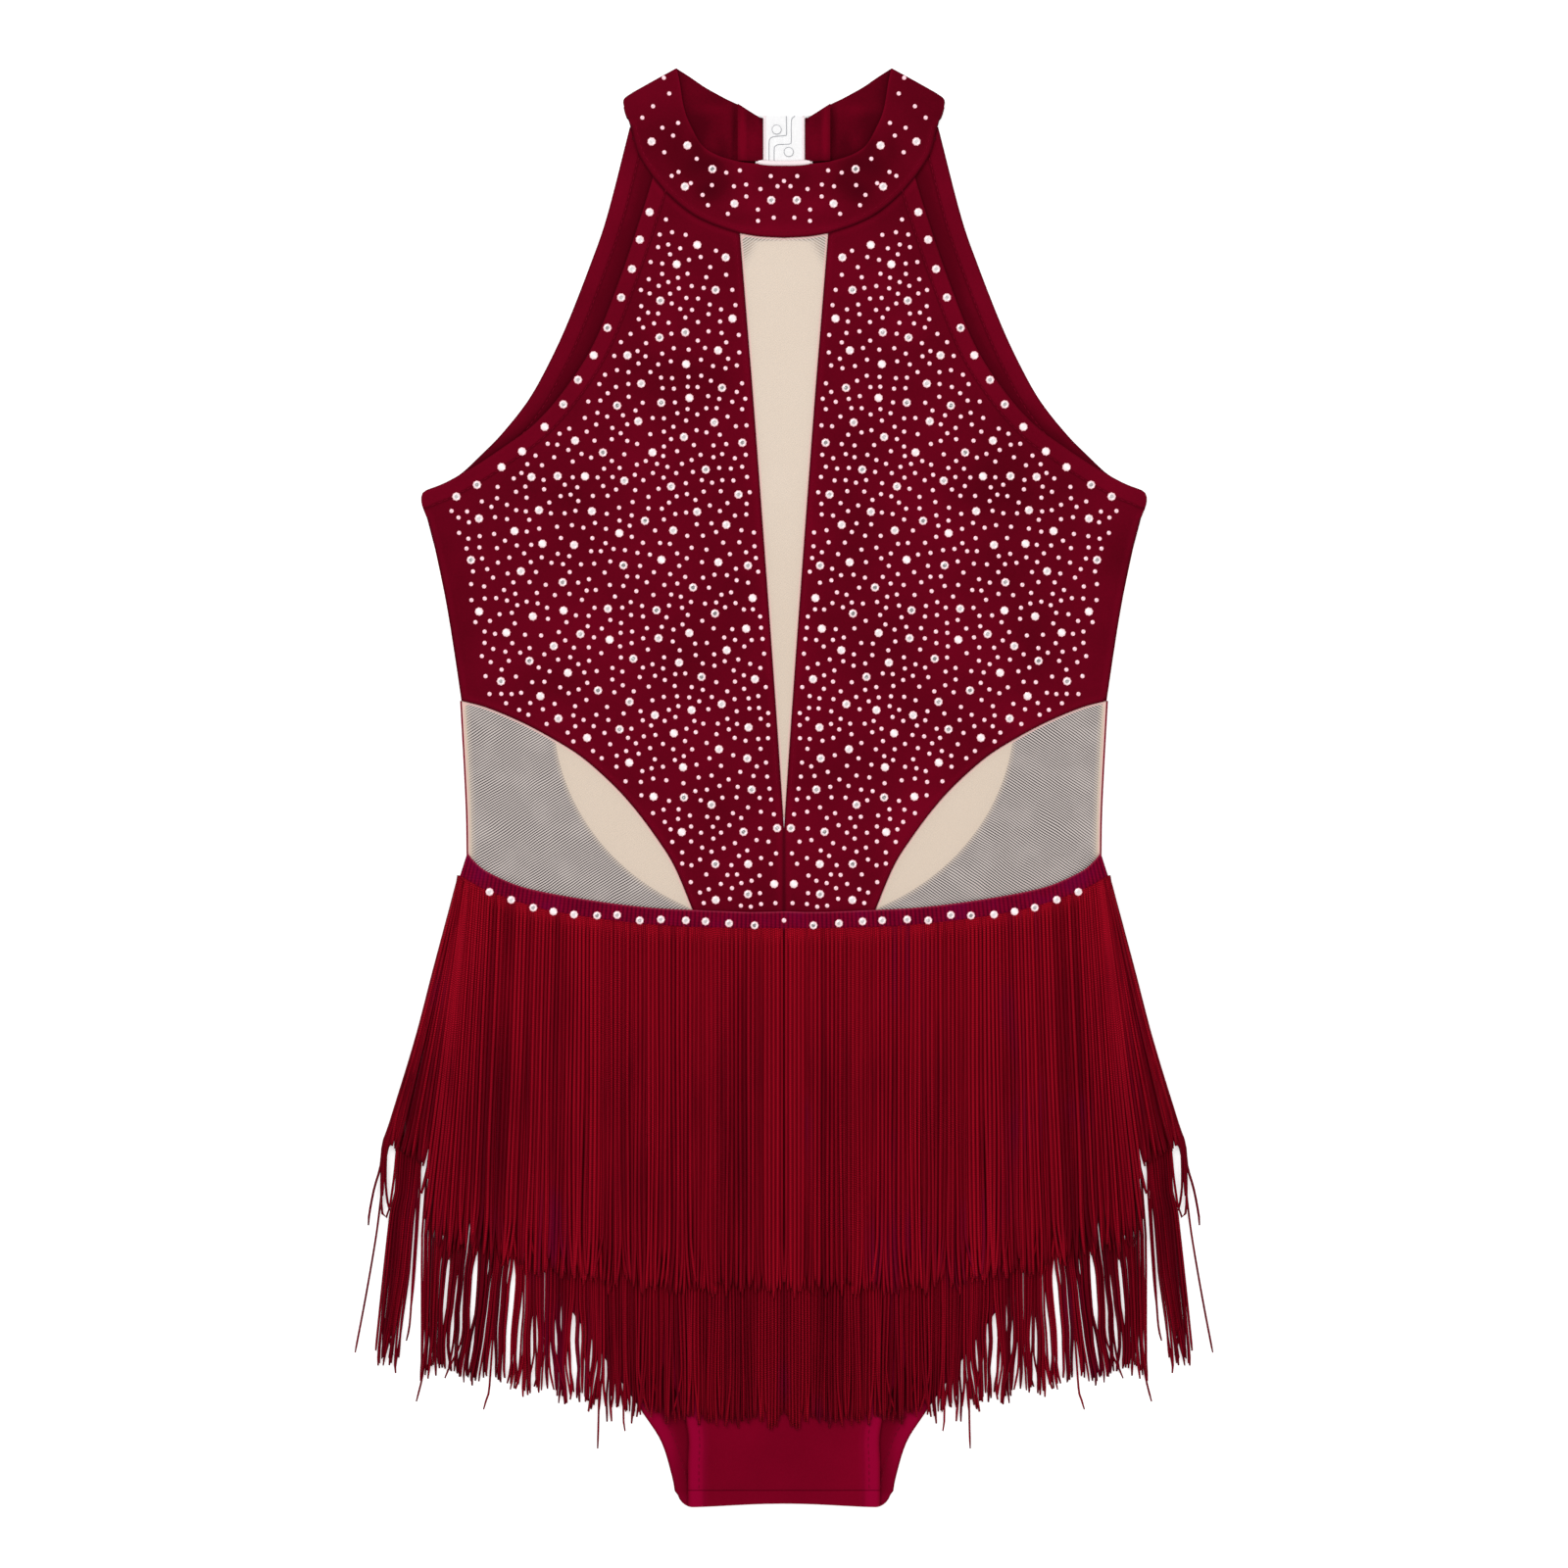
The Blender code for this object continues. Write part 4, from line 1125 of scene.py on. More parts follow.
def store(piece: Piece, name: str, values: Array) -> None:
    """Keep a number or a vector for each vertex under a name, for the shader.

    Args:
        piece: Object whose mesh keeps them.
        name: Name of the attribute.
        values: A number or a vector for each vertex.
    """
    vector = values.ndim == 2
    kind, key = ("FLOAT_VECTOR", "vector") if vector else ("FLOAT", "value")
    layer = piece.data.attributes.new(name, kind, "POINT")
    layer.data.foreach_set(key, np.ascontiguousarray(values, dtype=np.float32).ravel())


def grid_faces(rows: int, columns: int) -> List[Tuple[int, int, int, int]]:
    """Faces of a sheet of points, row by row.

    Args:
        rows: Rows of points.
        columns: Points in a row.

    Returns:
        The corners of each face.
    """
    index = np.arange(rows * columns).reshape(rows, columns)
    quads = np.stack([index[:-1, :-1], index[:-1, 1:], index[1:, 1:], index[1:, :-1]], axis=-1)
    return quads.reshape(-1, 4).tolist()


def lay_grid(name: str, flat: Array, heights: Array, marks: Dict[str, Array],
             finish: Material, side: Side = Side.RIGHT) -> Piece:
    """Make a piece from a sheet of points drawn on the right half.

    Args:
        name: Name of the piece.
        flat: Rows by columns by (x, y).
        heights: Height of each point.
        marks: Numbers kept for the shader, by name.
        finish: Its material.
        side: Half that it lies on; the left one gets the mirror image.

    Returns:
        The new object.
    """
    points = np.dstack([flat, heights])
    if side is Side.LEFT:
        points = points[:, ::-1] * MIRROR
        marks = {key: values[:, ::-1] for key, values in marks.items()}
    piece = add_piece(name, points.reshape(-1, 3), grid_faces(*points.shape[:2]), finish)
    for key, values in marks.items():
        store(piece, key, values.ravel())
    return piece


def add_wall(piece: Piece, wall: float, offset: float) -> None:
    """Give a sheet smooth faces and a wall.

    Args:
        piece: Object to give it to.
        wall: Thickness, in millimetres.
        offset: Side of the sheet that it grows to, from -1 to 1.
    """
    piece.data.shade_smooth()
    solid = piece.modifiers.new("wall", "SOLIDIFY")
    solid.thickness = wall * MM
    solid.offset = offset


def thicken(piece: Piece, offset: float = 1.0) -> None:
    """Give knit its wall, with firm edges; it lies on the sheet, or about it at offset 0.

    Args:
        piece: Object to give it to.
        offset: Side of the sheet that it grows to, from -1 to 1.
    """
    add_wall(piece, KNIT_WALL, offset)
    weights = piece.modifiers.new("weights", "WEIGHTED_NORMAL")
    weights.mode = "FACE_AREA"
    weights.weight = 80


def declare_cut(outline: Array) -> None:
    """Work out the flat size that a piece is cut to, without keeping it."""
    cut_size(outline)


@dataclass
class Cut:
    """One cut piece of cloth: its outline, and how it lies."""

    name: str
    node: str
    bottom: Sequence[Marks]
    right: Sequence[Marks]
    top: Sequence[Marks]
    left: Sequence[Marks]
    height: Height
    slot: str
    seams: Sequence[Sequence[Marks]] = ()
    hems: Sequence[Sequence[Marks]] = ()
    shade: Optional[Height] = None
    cell: float = 2.5
    closed: bool = False
    rests_on: Sequence[str] = ()

    def runs(self) -> Dict[str, Array]:
        """Draw the four runs, with as many cells as the longer of each pair needs.

        Returns:
            The runs by the names that fill() gives them.
        """
        lengths = {}
        for name in ("bottom", "right", "top", "left"):
            tables = getattr(self, name)
            lengths[name] = sum(length_of(marks) for marks in tables)
            if self.closed and name in ("bottom", "top"):
                lengths[name] *= 2
        across = math.ceil(max(lengths["bottom"], lengths["top"]) / self.cell)
        along = math.ceil(max(lengths["right"], lengths["left"]) / self.cell)
        if self.closed:
            half = across // 2 + 1
            bottom, top = (both_sides(draft(tables, half)) for tables in (self.bottom, self.top))
            right = draft(self.right, along)
            left = right * MIRROR[:2]
        else:
            bottom, top = draft(self.bottom, across), draft(self.top, across)
            right, left = draft(self.right, along), draft(self.left, along)
        return {"bottom": bottom, "right": right, "top": top, "left": left}

    def lay(self, finish: Material, side: Side = Side.RIGHT) -> Piece:
        """Lay the piece on its solid; knit gets a wall, and net is one layer of threads.

        Args:
            finish: Its material.
            side: Half of the garment that it belongs to.

        Returns:
            The new object.
        """
        flat = fill(**self.runs())
        folded = np.dstack([np.abs(flat[..., 0]), flat[..., 1]])
        marks = {"seam_mm": away_from(folded, [draft(tables, 60) for tables in self.seams]),
                 "hem_mm": away_from(folded, [draft(tables, 60) for tables in self.hems])}
        if self.shade:
            marks["shade"] = self.shade(folded[..., 0], folded[..., 1])
        is_net = self.slot == NET_SLOT
        if is_net:
            allowance = 1.2 - away_from(folded, [draft((COLLAR_SEAM_MIDDLE,), 20)])
            marks["double_mm"] = np.maximum(over_back_net(folded) * 0.09, allowance)
        heights = self.height(flat[..., 0], flat[..., 1])
        piece = lay_grid(self.name, flat, heights, marks, finish, side)
        if is_net:
            piece.data.shade_smooth()
        else:
            thicken(piece)
        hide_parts(self.node)
        return piece

    def declare(self, piece: Piece, with_pieces: Sequence[Piece] = ()) -> None:
        """Work out the flat size that the piece is cut to, without keeping it."""
        declare_cut(outline_of(**self.runs()))


def tube_rows(centres: Array, sideways: Array, widths: Array, thick: Array,
              sides: int) -> Tuple[Array, Array]:
    """Wrap rings round many lines at once.

    Args:
        centres: Lines by steps by (x, y, z).
        sideways: Unit vector across each line, by lines, steps and (x, y).
        widths: Width of each ring.
        thick: Thickness of each ring.
        sides: Number of corners of a ring.

    Returns:
        The corners, by lines, steps, corners and (x, y, z), and their share across, -1 to 1.
    """
    angles = (np.arange(sides) + 0.5) * TURN / sides
    out, up = np.cos(angles), np.sin(angles)
    corners = np.repeat(centres[:, :, None, :], sides, axis=2)
    corners[..., 0] += sideways[:, :, None, 0] * widths[:, :, None] / 2 * out
    corners[..., 1] += sideways[:, :, None, 1] * widths[:, :, None] / 2 * out
    corners[..., 2] += thick[:, :, None] / 2 * up
    across = np.broadcast_to(out, corners.shape[:3])
    return corners, across


def tube_faces(lines: int, steps: int, sides: int) -> List[Tuple[int, ...]]:
    """Faces of many tubes of equal steps, with their end caps.

    Args:
        lines: Number of tubes.
        steps: Rings of a tube.
        sides: Corners of a ring.

    Returns:
        The corners of each face.
    """
    index = np.arange(lines * steps * sides).reshape(lines, steps, sides)
    turned = np.roll(index, -1, axis=2)
    quads = np.stack([turned[:, :-1], turned[:, 1:], index[:, 1:], index[:, :-1]], axis=-1)
    faces = quads.reshape(-1, 4).tolist()
    faces += index[:, 0, ::-1].tolist()
    faces += index[:, -1, :].tolist()
    return faces


def crosswise(centres: Array) -> Array:
    """Unit vector across each line at each of its points, by lines, steps and (x, y).

    Args:
        centres: Lines by steps by (x, y, z).

    Returns:
        Lines by steps by (x, y).
    """
    steps = np.gradient(centres[..., :2], axis=1)
    steps /= np.maximum(np.linalg.norm(steps, axis=2, keepdims=True), 1e-6)
    return np.dstack([-steps[..., 1], steps[..., 0]])


def lay_tubes(name: str, centres: Array, widths: Array, finish: Material, sides: int) -> Piece:
    """Make round tubes along lines, as one piece.

    Args:
        name: Name of the piece.
        centres: Lines by steps by (x, y, z).
        widths: Thickness at each step of each line.
        finish: Its material.
        sides: Number of corners of a ring.

    Returns:
        The new object.
    """
    corners, _ = tube_rows(centres, crosswise(centres), widths, widths, sides)
    piece = add_piece(name, corners.reshape(-1, 3),
                      tube_faces(len(centres), centres.shape[1], sides), finish)
    piece.data.shade_smooth()
    return piece


# Sub-assemblies


@dataclass
class Bodice:
    """Front of the body: two knit halves, the V of net and the net inserts at the waist."""

    v_foot: float = -15.0
    net_level: float = 0.55

    @property
    def net_height(self) -> Height:
        """Level of the front's net, which follows the knit beside it."""
        return above(bodice_height, self.net_level)

    def cuts(self, side: Side) -> Tuple[Cut, Cut]:
        """Patterns of one half: the knit panel and the waist insert.

        Args:
            side: Half of the garment.

        Returns:
            The panel's pattern and the insert's.
        """
        centre = pattern(0, WAIST_MIDDLE[0].y, 0, V_TIP)
        panel = Cut(f"bodice_{side.word}", f"front_panel_{side.word}",
                    (WAIST_MIDDLE, INSERT_ARC), (SIDE_SEAM, UNDERARM, FRONT_ARMHOLE),
                    (COLLAR_SEAM_PANEL,), (centre, V_EDGE),
                    above(bodice_height, CLOTH - KNIT_WALL), KNIT_SLOT,
                    seams=tuple((run,) for run in (COLLAR_SEAM_PANEL, centre, V_EDGE, SIDE_SEAM,
                                                   INSERT_ARC)),
                    hems=(ARMHOLE,), shade=bodice_shade,
                    rests_on=(f"back_net_{side.word}", f"back_band_strip_{side.word}"))
        insert = Cut(f"waist_net_{side.word}", f"side_mesh_{side.word}",
                     (WAIST_OUTER,), (WAIST_SIDE,), (INSERT_ARC,), ((INSERT_ARC[0],) * 2,),
                     self.net_height, NET_SLOT, cell=3.0,
                     rests_on=(f"back_net_{side.word}",))
        return panel, insert

    def insert_points(self, cells: int = 44, rows: int = 36) -> Tuple[Array, Array]:
        """Sheet of the waist insert, whose inner end is a point, with its distance to seams.

        Args:
            cells: Columns of cells.
            rows: Rows of cells.

        Returns:
            The points, and the distance of each from a seam.
        """
        bottom, top = smooth(WAIST_OUTER, cells), smooth(INSERT_ARC, cells)
        right = smooth(WAIST_SIDE, rows)
        left = np.linspace(bottom[0], top[0], rows + 1)
        flat = blend(bottom, right, top, left, np.linspace(0.0, 1.0, cells + 1),
                     np.linspace(0.0, 1.0, rows + 1))
        return flat, away_from(flat, [bottom, top, right])

    def build(self, knit: Material, net: Material) -> Dict[str, Tuple[Cut, Piece]]:
        """Lay the pieces of the bodice.

        Args:
            knit: Material of the knit halves.
            net: Material of the net.

        Returns:
            The patterns and pieces, by name.
        """
        made = {}
        for side in Side:
            panel, insert = self.cuts(side)
            made[panel.name] = (panel, panel.lay(knit, side))
            made[insert.name] = (insert, self.lay_insert(insert, net, side))
        edge_foot = Mark(float(np.interp(self.v_foot, [V_TIP, V_EDGE[1].y], [0.0, V_EDGE[1].x])),
                         self.v_foot)
        v_cut = Cut("v_net", "front_mesh_insert", ((Mark(0.0, self.v_foot), edge_foot),),
                    ((edge_foot,) + V_EDGE[1:],), (COLLAR_SEAM_MIDDLE,), (), self.net_height,
                    NET_SLOT, seams=((V_EDGE,), (COLLAR_SEAM_MIDDLE,)), closed=True, cell=3.0,
                    rests_on=("back_net_right", "back_net_left"))
        made[v_cut.name] = (v_cut, v_cut.lay(net))
        return made

    def lay_insert(self, cut: Cut, net: Material, side: Side) -> Piece:
        """Lay one waist insert.

        Args:
            cut: Pattern of the insert.
            net: Material of the net.
            side: Half of the garment.

        Returns:
            The new object.
        """
        flat, seam = self.insert_points()
        turned_in = away_from(flat, [smooth(WAIST_SIDE, 20)]) - 2.0
        marks = {"seam_mm": seam, "double_mm": np.minimum(over_back_net(flat), turned_in)}
        piece = lay_grid(cut.name, flat, self.net_height(flat[..., 0], flat[..., 1]), marks, net,
                         side)
        piece.data.shade_smooth()
        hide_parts(cut.node)
        return piece

    def declare(self, made: Dict[str, Tuple[Cut, Piece]], stones: Dict[str, Piece]) -> None:
        """Work out the cut size of each piece, without keeping it.

        Args:
            made: The patterns and pieces, by name.
            stones: Pieces of stones, by what they are stuck on.
        """
        insert_outline = np.vstack([smooth(WAIST_OUTER, 40), smooth(WAIST_SIDE, 20)[1:],
                                    smooth(INSERT_ARC, 40)[::-1][1:-1]])
        for side in Side:
            panel_cut, panel = made[f"bodice_{side.word}"]
            panel_cut.declare(panel, [stones[side.word]])
            declare_cut(insert_outline)
        v_cut, v_net = made["v_net"]
        v_cut.declare(v_net)


class BriefPieces(NamedTuple):
    """The brief's pieces, with the front's pattern and the back's cut area."""

    cut: Cut
    front: Piece
    back: Piece
    back_area: float


@dataclass
class Brief:
    """Front of the brief, and the back whose crotch end turns up onto the front."""

    turn_radius: float = 0.65
    fold_arch: float = 1.8
    corner_start: float = 46.5
    corner_end: float = 54.5
    corner_rise: float = 5.6
    fold_halves: Tuple[Tuple[float, float], ...] = (
        (0.0, 54.4), (0.25, 53.2), (0.5, 51.4), (0.75, CROTCH_HALF), (1.0, CROTCH_HALF))
    turn_steps: int = 10
    lap_rows: int = 5
    leg_points: int = 70
    back_cut_length: float = 0.344
    shade_reach: float = 10.0
    shade_depth: float = 0.95

    def front_cut(self) -> Cut:
        """Pattern of the front brief.

        Returns:
            The pattern.
        """
        return Cut("brief_front", "front_brief",
                   (pattern(0, CROTCH_SEAM, CROTCH_HALF, CROTCH_SEAM),),
                   (FRONT_LEG, HIP_SIDE), (WAIST_MIDDLE, WAIST_OUTER), (),
                   above(brief_height, CLOTH - KNIT_WALL), KNIT_SLOT, seams=((HIP_SIDE,),),
                   hems=((FRONT_LEG,),), closed=True, cell=3.5, rests_on=("brief_back",))

    def back_sheet(self) -> Tuple[Array, Array, Array, float]:
        """Middle surface of the back brief, its seam and hem distances, and its flat area.

        Returns:
            The points, two distances for each point, and the area.
        """
        foot_angle = math.acos(KEYHOLE_FOOT.x / KEYHOLE_HALF)
        scoop = keyhole_arc(math.pi / 2, foot_angle, 14)
        waist = smooth(WAIST_OUTER, 36)
        scoop[-1] = waist[0]
        top = both_sides(np.vstack([scoop, waist[1:]]))
        right = draft((BACK_LEG, HIP_SIDE), 100)
        left = right * MIRROR[:2]
        bottom = np.linspace(left[0], right[0], len(top))
        flat = fill(bottom, right, top, left)
        level = CLOTH / 2
        body = np.dstack([flat, np.full(flat.shape[:2], level)])
        across = flat[0, :, 0] / flat[0, -1, 0]
        turn_y = BOTTOM + self.turn_radius + CLOTH / 2
        rows = []
        parts, halves = zip(*self.fold_halves)
        for share in np.linspace(0.0, 1.0, self.turn_steps + 1):
            half = float(np.interp(share, parts, halves))
            angle = share * math.pi
            corner = share_of(np.abs(across * half), self.corner_start, self.corner_end)
            y = (turn_y - self.turn_radius * math.sin(angle)
                 + self.fold_arch * (1 - across ** 2) ** 2 + self.corner_rise * corner ** 2)
            z = level + self.turn_radius * (1 - math.cos(angle))
            rows.append(np.column_stack([across * half, y, np.full_like(across, z)]))
        last_y = rows[-1][:, 1]
        for share in np.linspace(0.0, 1.0, self.lap_rows + 1)[1:]:
            y = last_y + share * (CROTCH_SEAM - 0.3 - last_y)
            z = FRONT_LEVEL + CLOTH / 2 + crease_height(CROTCH_CREASES, across * CROTCH_HALF, y)
            rows.append(np.column_stack([across * CROTCH_HALF, y, z]))
        points = np.concatenate([np.array(rows[::-1]), body])
        leg = self.leg_points
        hems = away_from(flat, [right[:leg], left[:leg]])
        lap = (1 - np.abs(across)) * CROTCH_HALF
        hem = np.concatenate([np.repeat(lap[None], len(rows), axis=0), hems])
        seams = away_from(flat, [top, right[leg:], left[leg:]])
        seam = np.concatenate([np.full((len(rows), len(across)), FAR), seams])
        area = outline_area(outline_of(bottom, right, top, left))
        area += 2 * CROTCH_HALF * (math.pi * self.turn_radius + CROTCH_SEAM - turn_y)
        return points, seam, hem, area

    def build(self, crotch: Material) -> BriefPieces:
        """Lay the brief.

        Args:
            crotch: Material of the knit, with the crotch's soft pleats.

        Returns:
            Its front and back.
        """
        cut = self.front_cut()
        front = cut.lay(crotch)
        points, seam, hem, area = self.back_sheet()
        back = add_piece("brief_back", points.reshape(-1, 3), grid_faces(*points.shape[:2]),
                         crotch)
        store(back, "seam_mm", seam.ravel())
        store(back, "hem_mm", hem.ravel())
        beside = close_to(points[..., :2], [smooth(FRONT_LEG[:4], 20) * (side.value, 1.0)
                                            for side in Side], self.shade_reach)
        shade = np.where(points[..., 2] < CLOTH, self.shade_depth * beside, 0.0)
        store(back, "shade", shade.ravel())
        thicken(back, 0.0)
        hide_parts("back_brief")
        return BriefPieces(cut, front, back, area)

    def declare(self, seat: BriefPieces, on_front: Sequence[Piece], on_back: Sequence[Piece]
                ) -> None:
        """Work out the cut size of the front and the folded back's area, without keeping them.

        Args:
            seat: The front and back.
            on_front: Pieces that move with the front.
            on_back: Pieces that move with the back; not used.
        """
        seat.cut.declare(seat.front, on_front)
        seat.back_area * MM * MM


@dataclass
class OpenBack:
    """Back of the body: net on each side of the open back, and the bands along the armholes."""

    band_width: float = 23.0
    net_level: float = 0.5

    def band_edge(self, cells: int) -> Array:
        """Inner edge of the armhole band, from the side seam up to the collar.

        Args:
            cells: Number of steps.

        Returns:
            The cells + 1 points.
        """
        inner = shifted(smooth(BACK_ARMHOLE, cells), self.band_width)
        inner[-1] = BAND_NECK_SEAM[0]
        foot = np.linspace(np.array(BAND_FOOT), inner[1], 6)
        return np.vstack([foot, inner[2:]])

    def sheets(self) -> Dict[str, Tuple[Dict[str, Array], str]]:
        """Runs of the net and of the band, by the start of their names, with their nodes.

        Returns:
            The runs and the node of each.
        """
        inner = self.band_edge(90)
        side = draft((WAIST_SIDE, SIDE_SEAM[:3] + (BAND_FOOT,)), 55)
        right = np.vstack([side, inner[1:]])
        neck = draft((BACK_NECK_START, BACK_NECK_SEAM), 40)
        net = {"bottom": smooth(WAIST_OUTER, 40), "right": right, "top": neck,
               "left": keyhole_edge(len(right) - 1)}
        outer = draft((UNDERARM[2:], BACK_ARMHOLE), len(inner) - 1)
        foot = draft(((BAND_FOOT,) + UNDERARM[:3],), 10)
        band = {"bottom": foot, "right": outer, "top": smooth(BAND_NECK_SEAM, 10), "left": inner}
        return {"back_net": (net, "back_mesh"), "back_band_strip": (band, "back_band")}

    def build(self, net: Material, knit: Material) -> None:
        """Lay the back's pieces and work out their cut sizes, without keeping them.

        Args:
            net: Material of the net.
            knit: Material of the bands.
        """
        for name, (runs, node) in self.sheets().items():
            flat = fill(**runs)
            is_net = node == "back_mesh"
            hems = [runs["left"]] if is_net else [runs["right"]]
            seams = [run for run in runs.values() if run is not hems[0]]
            marks = {"seam_mm": away_from(flat, seams), "hem_mm": away_from(flat, hems)}
            if is_net:
                marks["double_mm"] = np.full(flat.shape[:2], -10.0)
            else:
                marks["shade"] = band_shade(flat[..., 0], flat[..., 1])
            heights = np.full(flat.shape[:2], self.net_level if is_net else CLOTH - KNIT_WALL)
            outline = outline_of(**runs)
            for side in Side:
                piece = lay_grid(f"{name}_{side.word}", flat, heights, marks,
                                 net if is_net else knit,
                                 side)
                if is_net:
                    piece.data.shade_smooth()
                else:
                    thicken(piece)
                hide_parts(f"{node}_{side.word}")
                cut_size(outline)


@dataclass
class Collar:
    """Stand collar: the front stretch, and two back stretches looped round the clasp's bars."""

    end_half: float = 11.2
    loop_turn_x: float = 12.3
    loop_seam_x: float = 24.0
    loop_radius: float = 1.3
    loop_inset: float = 0.4
    loop_narrowing: float = 0.6
    loop_steps: int = 12
    wave: float = 0.25
    waves: float = 9.0
    end_allowance: float = 5.0
    lap_cells: int = 5

    def front_cut(self) -> Cut:
        """Pattern of the front stretch.

        Returns:
            The pattern.
        """
        return Cut("collar_band", "collar_front", COLLAR_SEAM, COLLAR_END, (NECKLINE,), (),
                   above(collar_height, CLOTH - KNIT_WALL), KNIT_SLOT, seams=(COLLAR_SEAM,),
                   shade=collar_shade, closed=True, cell=1.6,
                   rests_on=("collar_loop_right", "collar_loop_left"))

    @staticmethod
    def column(across: Array, x: float, lower: float, upper: float, level: float) -> Array:
        """Points of the loop at one x and level, between two ends of the band."""
        return np.column_stack([np.full_like(across, x), lower + across * (upper - lower),
                                np.full_like(across, level)])

    def back_sheet(self) -> Tuple[Array, Array, Array, Tuple[float, float, float]]:
        """Middle surface of the right back stretch, its seam distance and shade, and its cut.

        Returns:
            The points, a distance and a shade for each, and the cut's width, length
            and area.
        """
        low, high = CLASP_Y - self.end_half, CLASP_Y + self.end_half
        neck = draft((BACK_NECK_SEAM, BAND_NECK_SEAM), 34)
        top = smooth(BACK_COLLAR_TOP, 34)
        end = draft(COLLAR_END, 22)
        inner = np.linspace(neck[0], top[0], len(end))
        flat = fill(neck, end, top, inner)
        level = CLOTH / 2
        ripple = crease_height(LINING_CREASES, flat[..., 0], flat[..., 1])
        body = np.dstack([flat, level + ripple])
        across = travelled(inner) / travelled(inner)[-1]
        columns = []
        for part in np.linspace(1.0, 0.1, self.lap_cells):
            x = self.loop_turn_x + part * (self.loop_seam_x - self.loop_inset - self.loop_turn_x)
            lower = low + part * self.loop_narrowing
            upper = high + part * (BACK_COLLAR_TOP[0].y - high)
            z = level + 2 * self.loop_radius + self.wave * math.sin(part * self.waves)
            columns.append(self.column(across, x, lower, upper, z))
        for angle in np.linspace(0.0, math.pi, self.loop_steps + 1):
            x = self.loop_turn_x - self.loop_radius * math.sin(angle)
            z = level + self.loop_radius * (1 + math.cos(angle))
            columns.append(self.column(across, x, low, high, z))
        for part in np.linspace(0.0, 1.0, self.lap_cells + 1)[1:-1]:
            x = self.loop_turn_x + part * (self.loop_seam_x - self.loop_turn_x)
            lower = low + part * (neck[0, 1] - low)
            upper = high + part * (top[0, 1] - high)
            columns.append(self.column(across, x, lower, upper, level))
        loop = np.array(columns).transpose(1, 0, 2)
        points = np.concatenate([loop, body], axis=1)
        shade = lining_shade(points[..., 0], points[..., 1])
        seam = np.full(points.shape[:2], FAR)
        seam[:, [0, -1]] = 0.0
        width = float(flat[..., 0].max() - self.loop_turn_x + math.pi * self.loop_radius
                      + self.loop_seam_x - self.loop_turn_x)
        length = float(flat[..., 1].max() - flat[..., 1].min())
        area = outline_area(outline_of(neck, end, top, inner))
        end_width = self.end_half * 2 + self.end_allowance
        area += 2 * (self.loop_seam_x - self.loop_turn_x) * end_width
        return points, seam, shade, (width, length, area)

    def build(self, knit: Material, lining: Material) -> Tuple[Cut, Piece]:
        """Lay the collar, and work out the cut of its back stretches without keeping it.

        Args:
            knit: Material of the front stretch.
            lining: Material of the back stretches, which show their inner face.

        Returns:
            The front's pattern and piece.
        """
        cut = self.front_cut()
        front = cut.lay(knit)
        points, seam, shade, (width, length, area) = self.back_sheet()
        marks = {"seam_mm": seam, "hem_mm": np.full(seam.shape, FAR), "shade": shade}
        for side in Side:
            piece = lay_grid(f"collar_loop_{side.word}", points[..., :2], points[..., 2], marks,
                             lining, side)
            thicken(piece, 0.0)
            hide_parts(f"collar_back_{side.word}")
            width * MM
            length * MM
            area * MM * MM
        return cut, front


class Gap(NamedTuple):
    """A gap that opens between strands: where it starts, where it ends, and its half width."""

    x: float
    y: float
    end_x: float
    end_y: float
    half: float


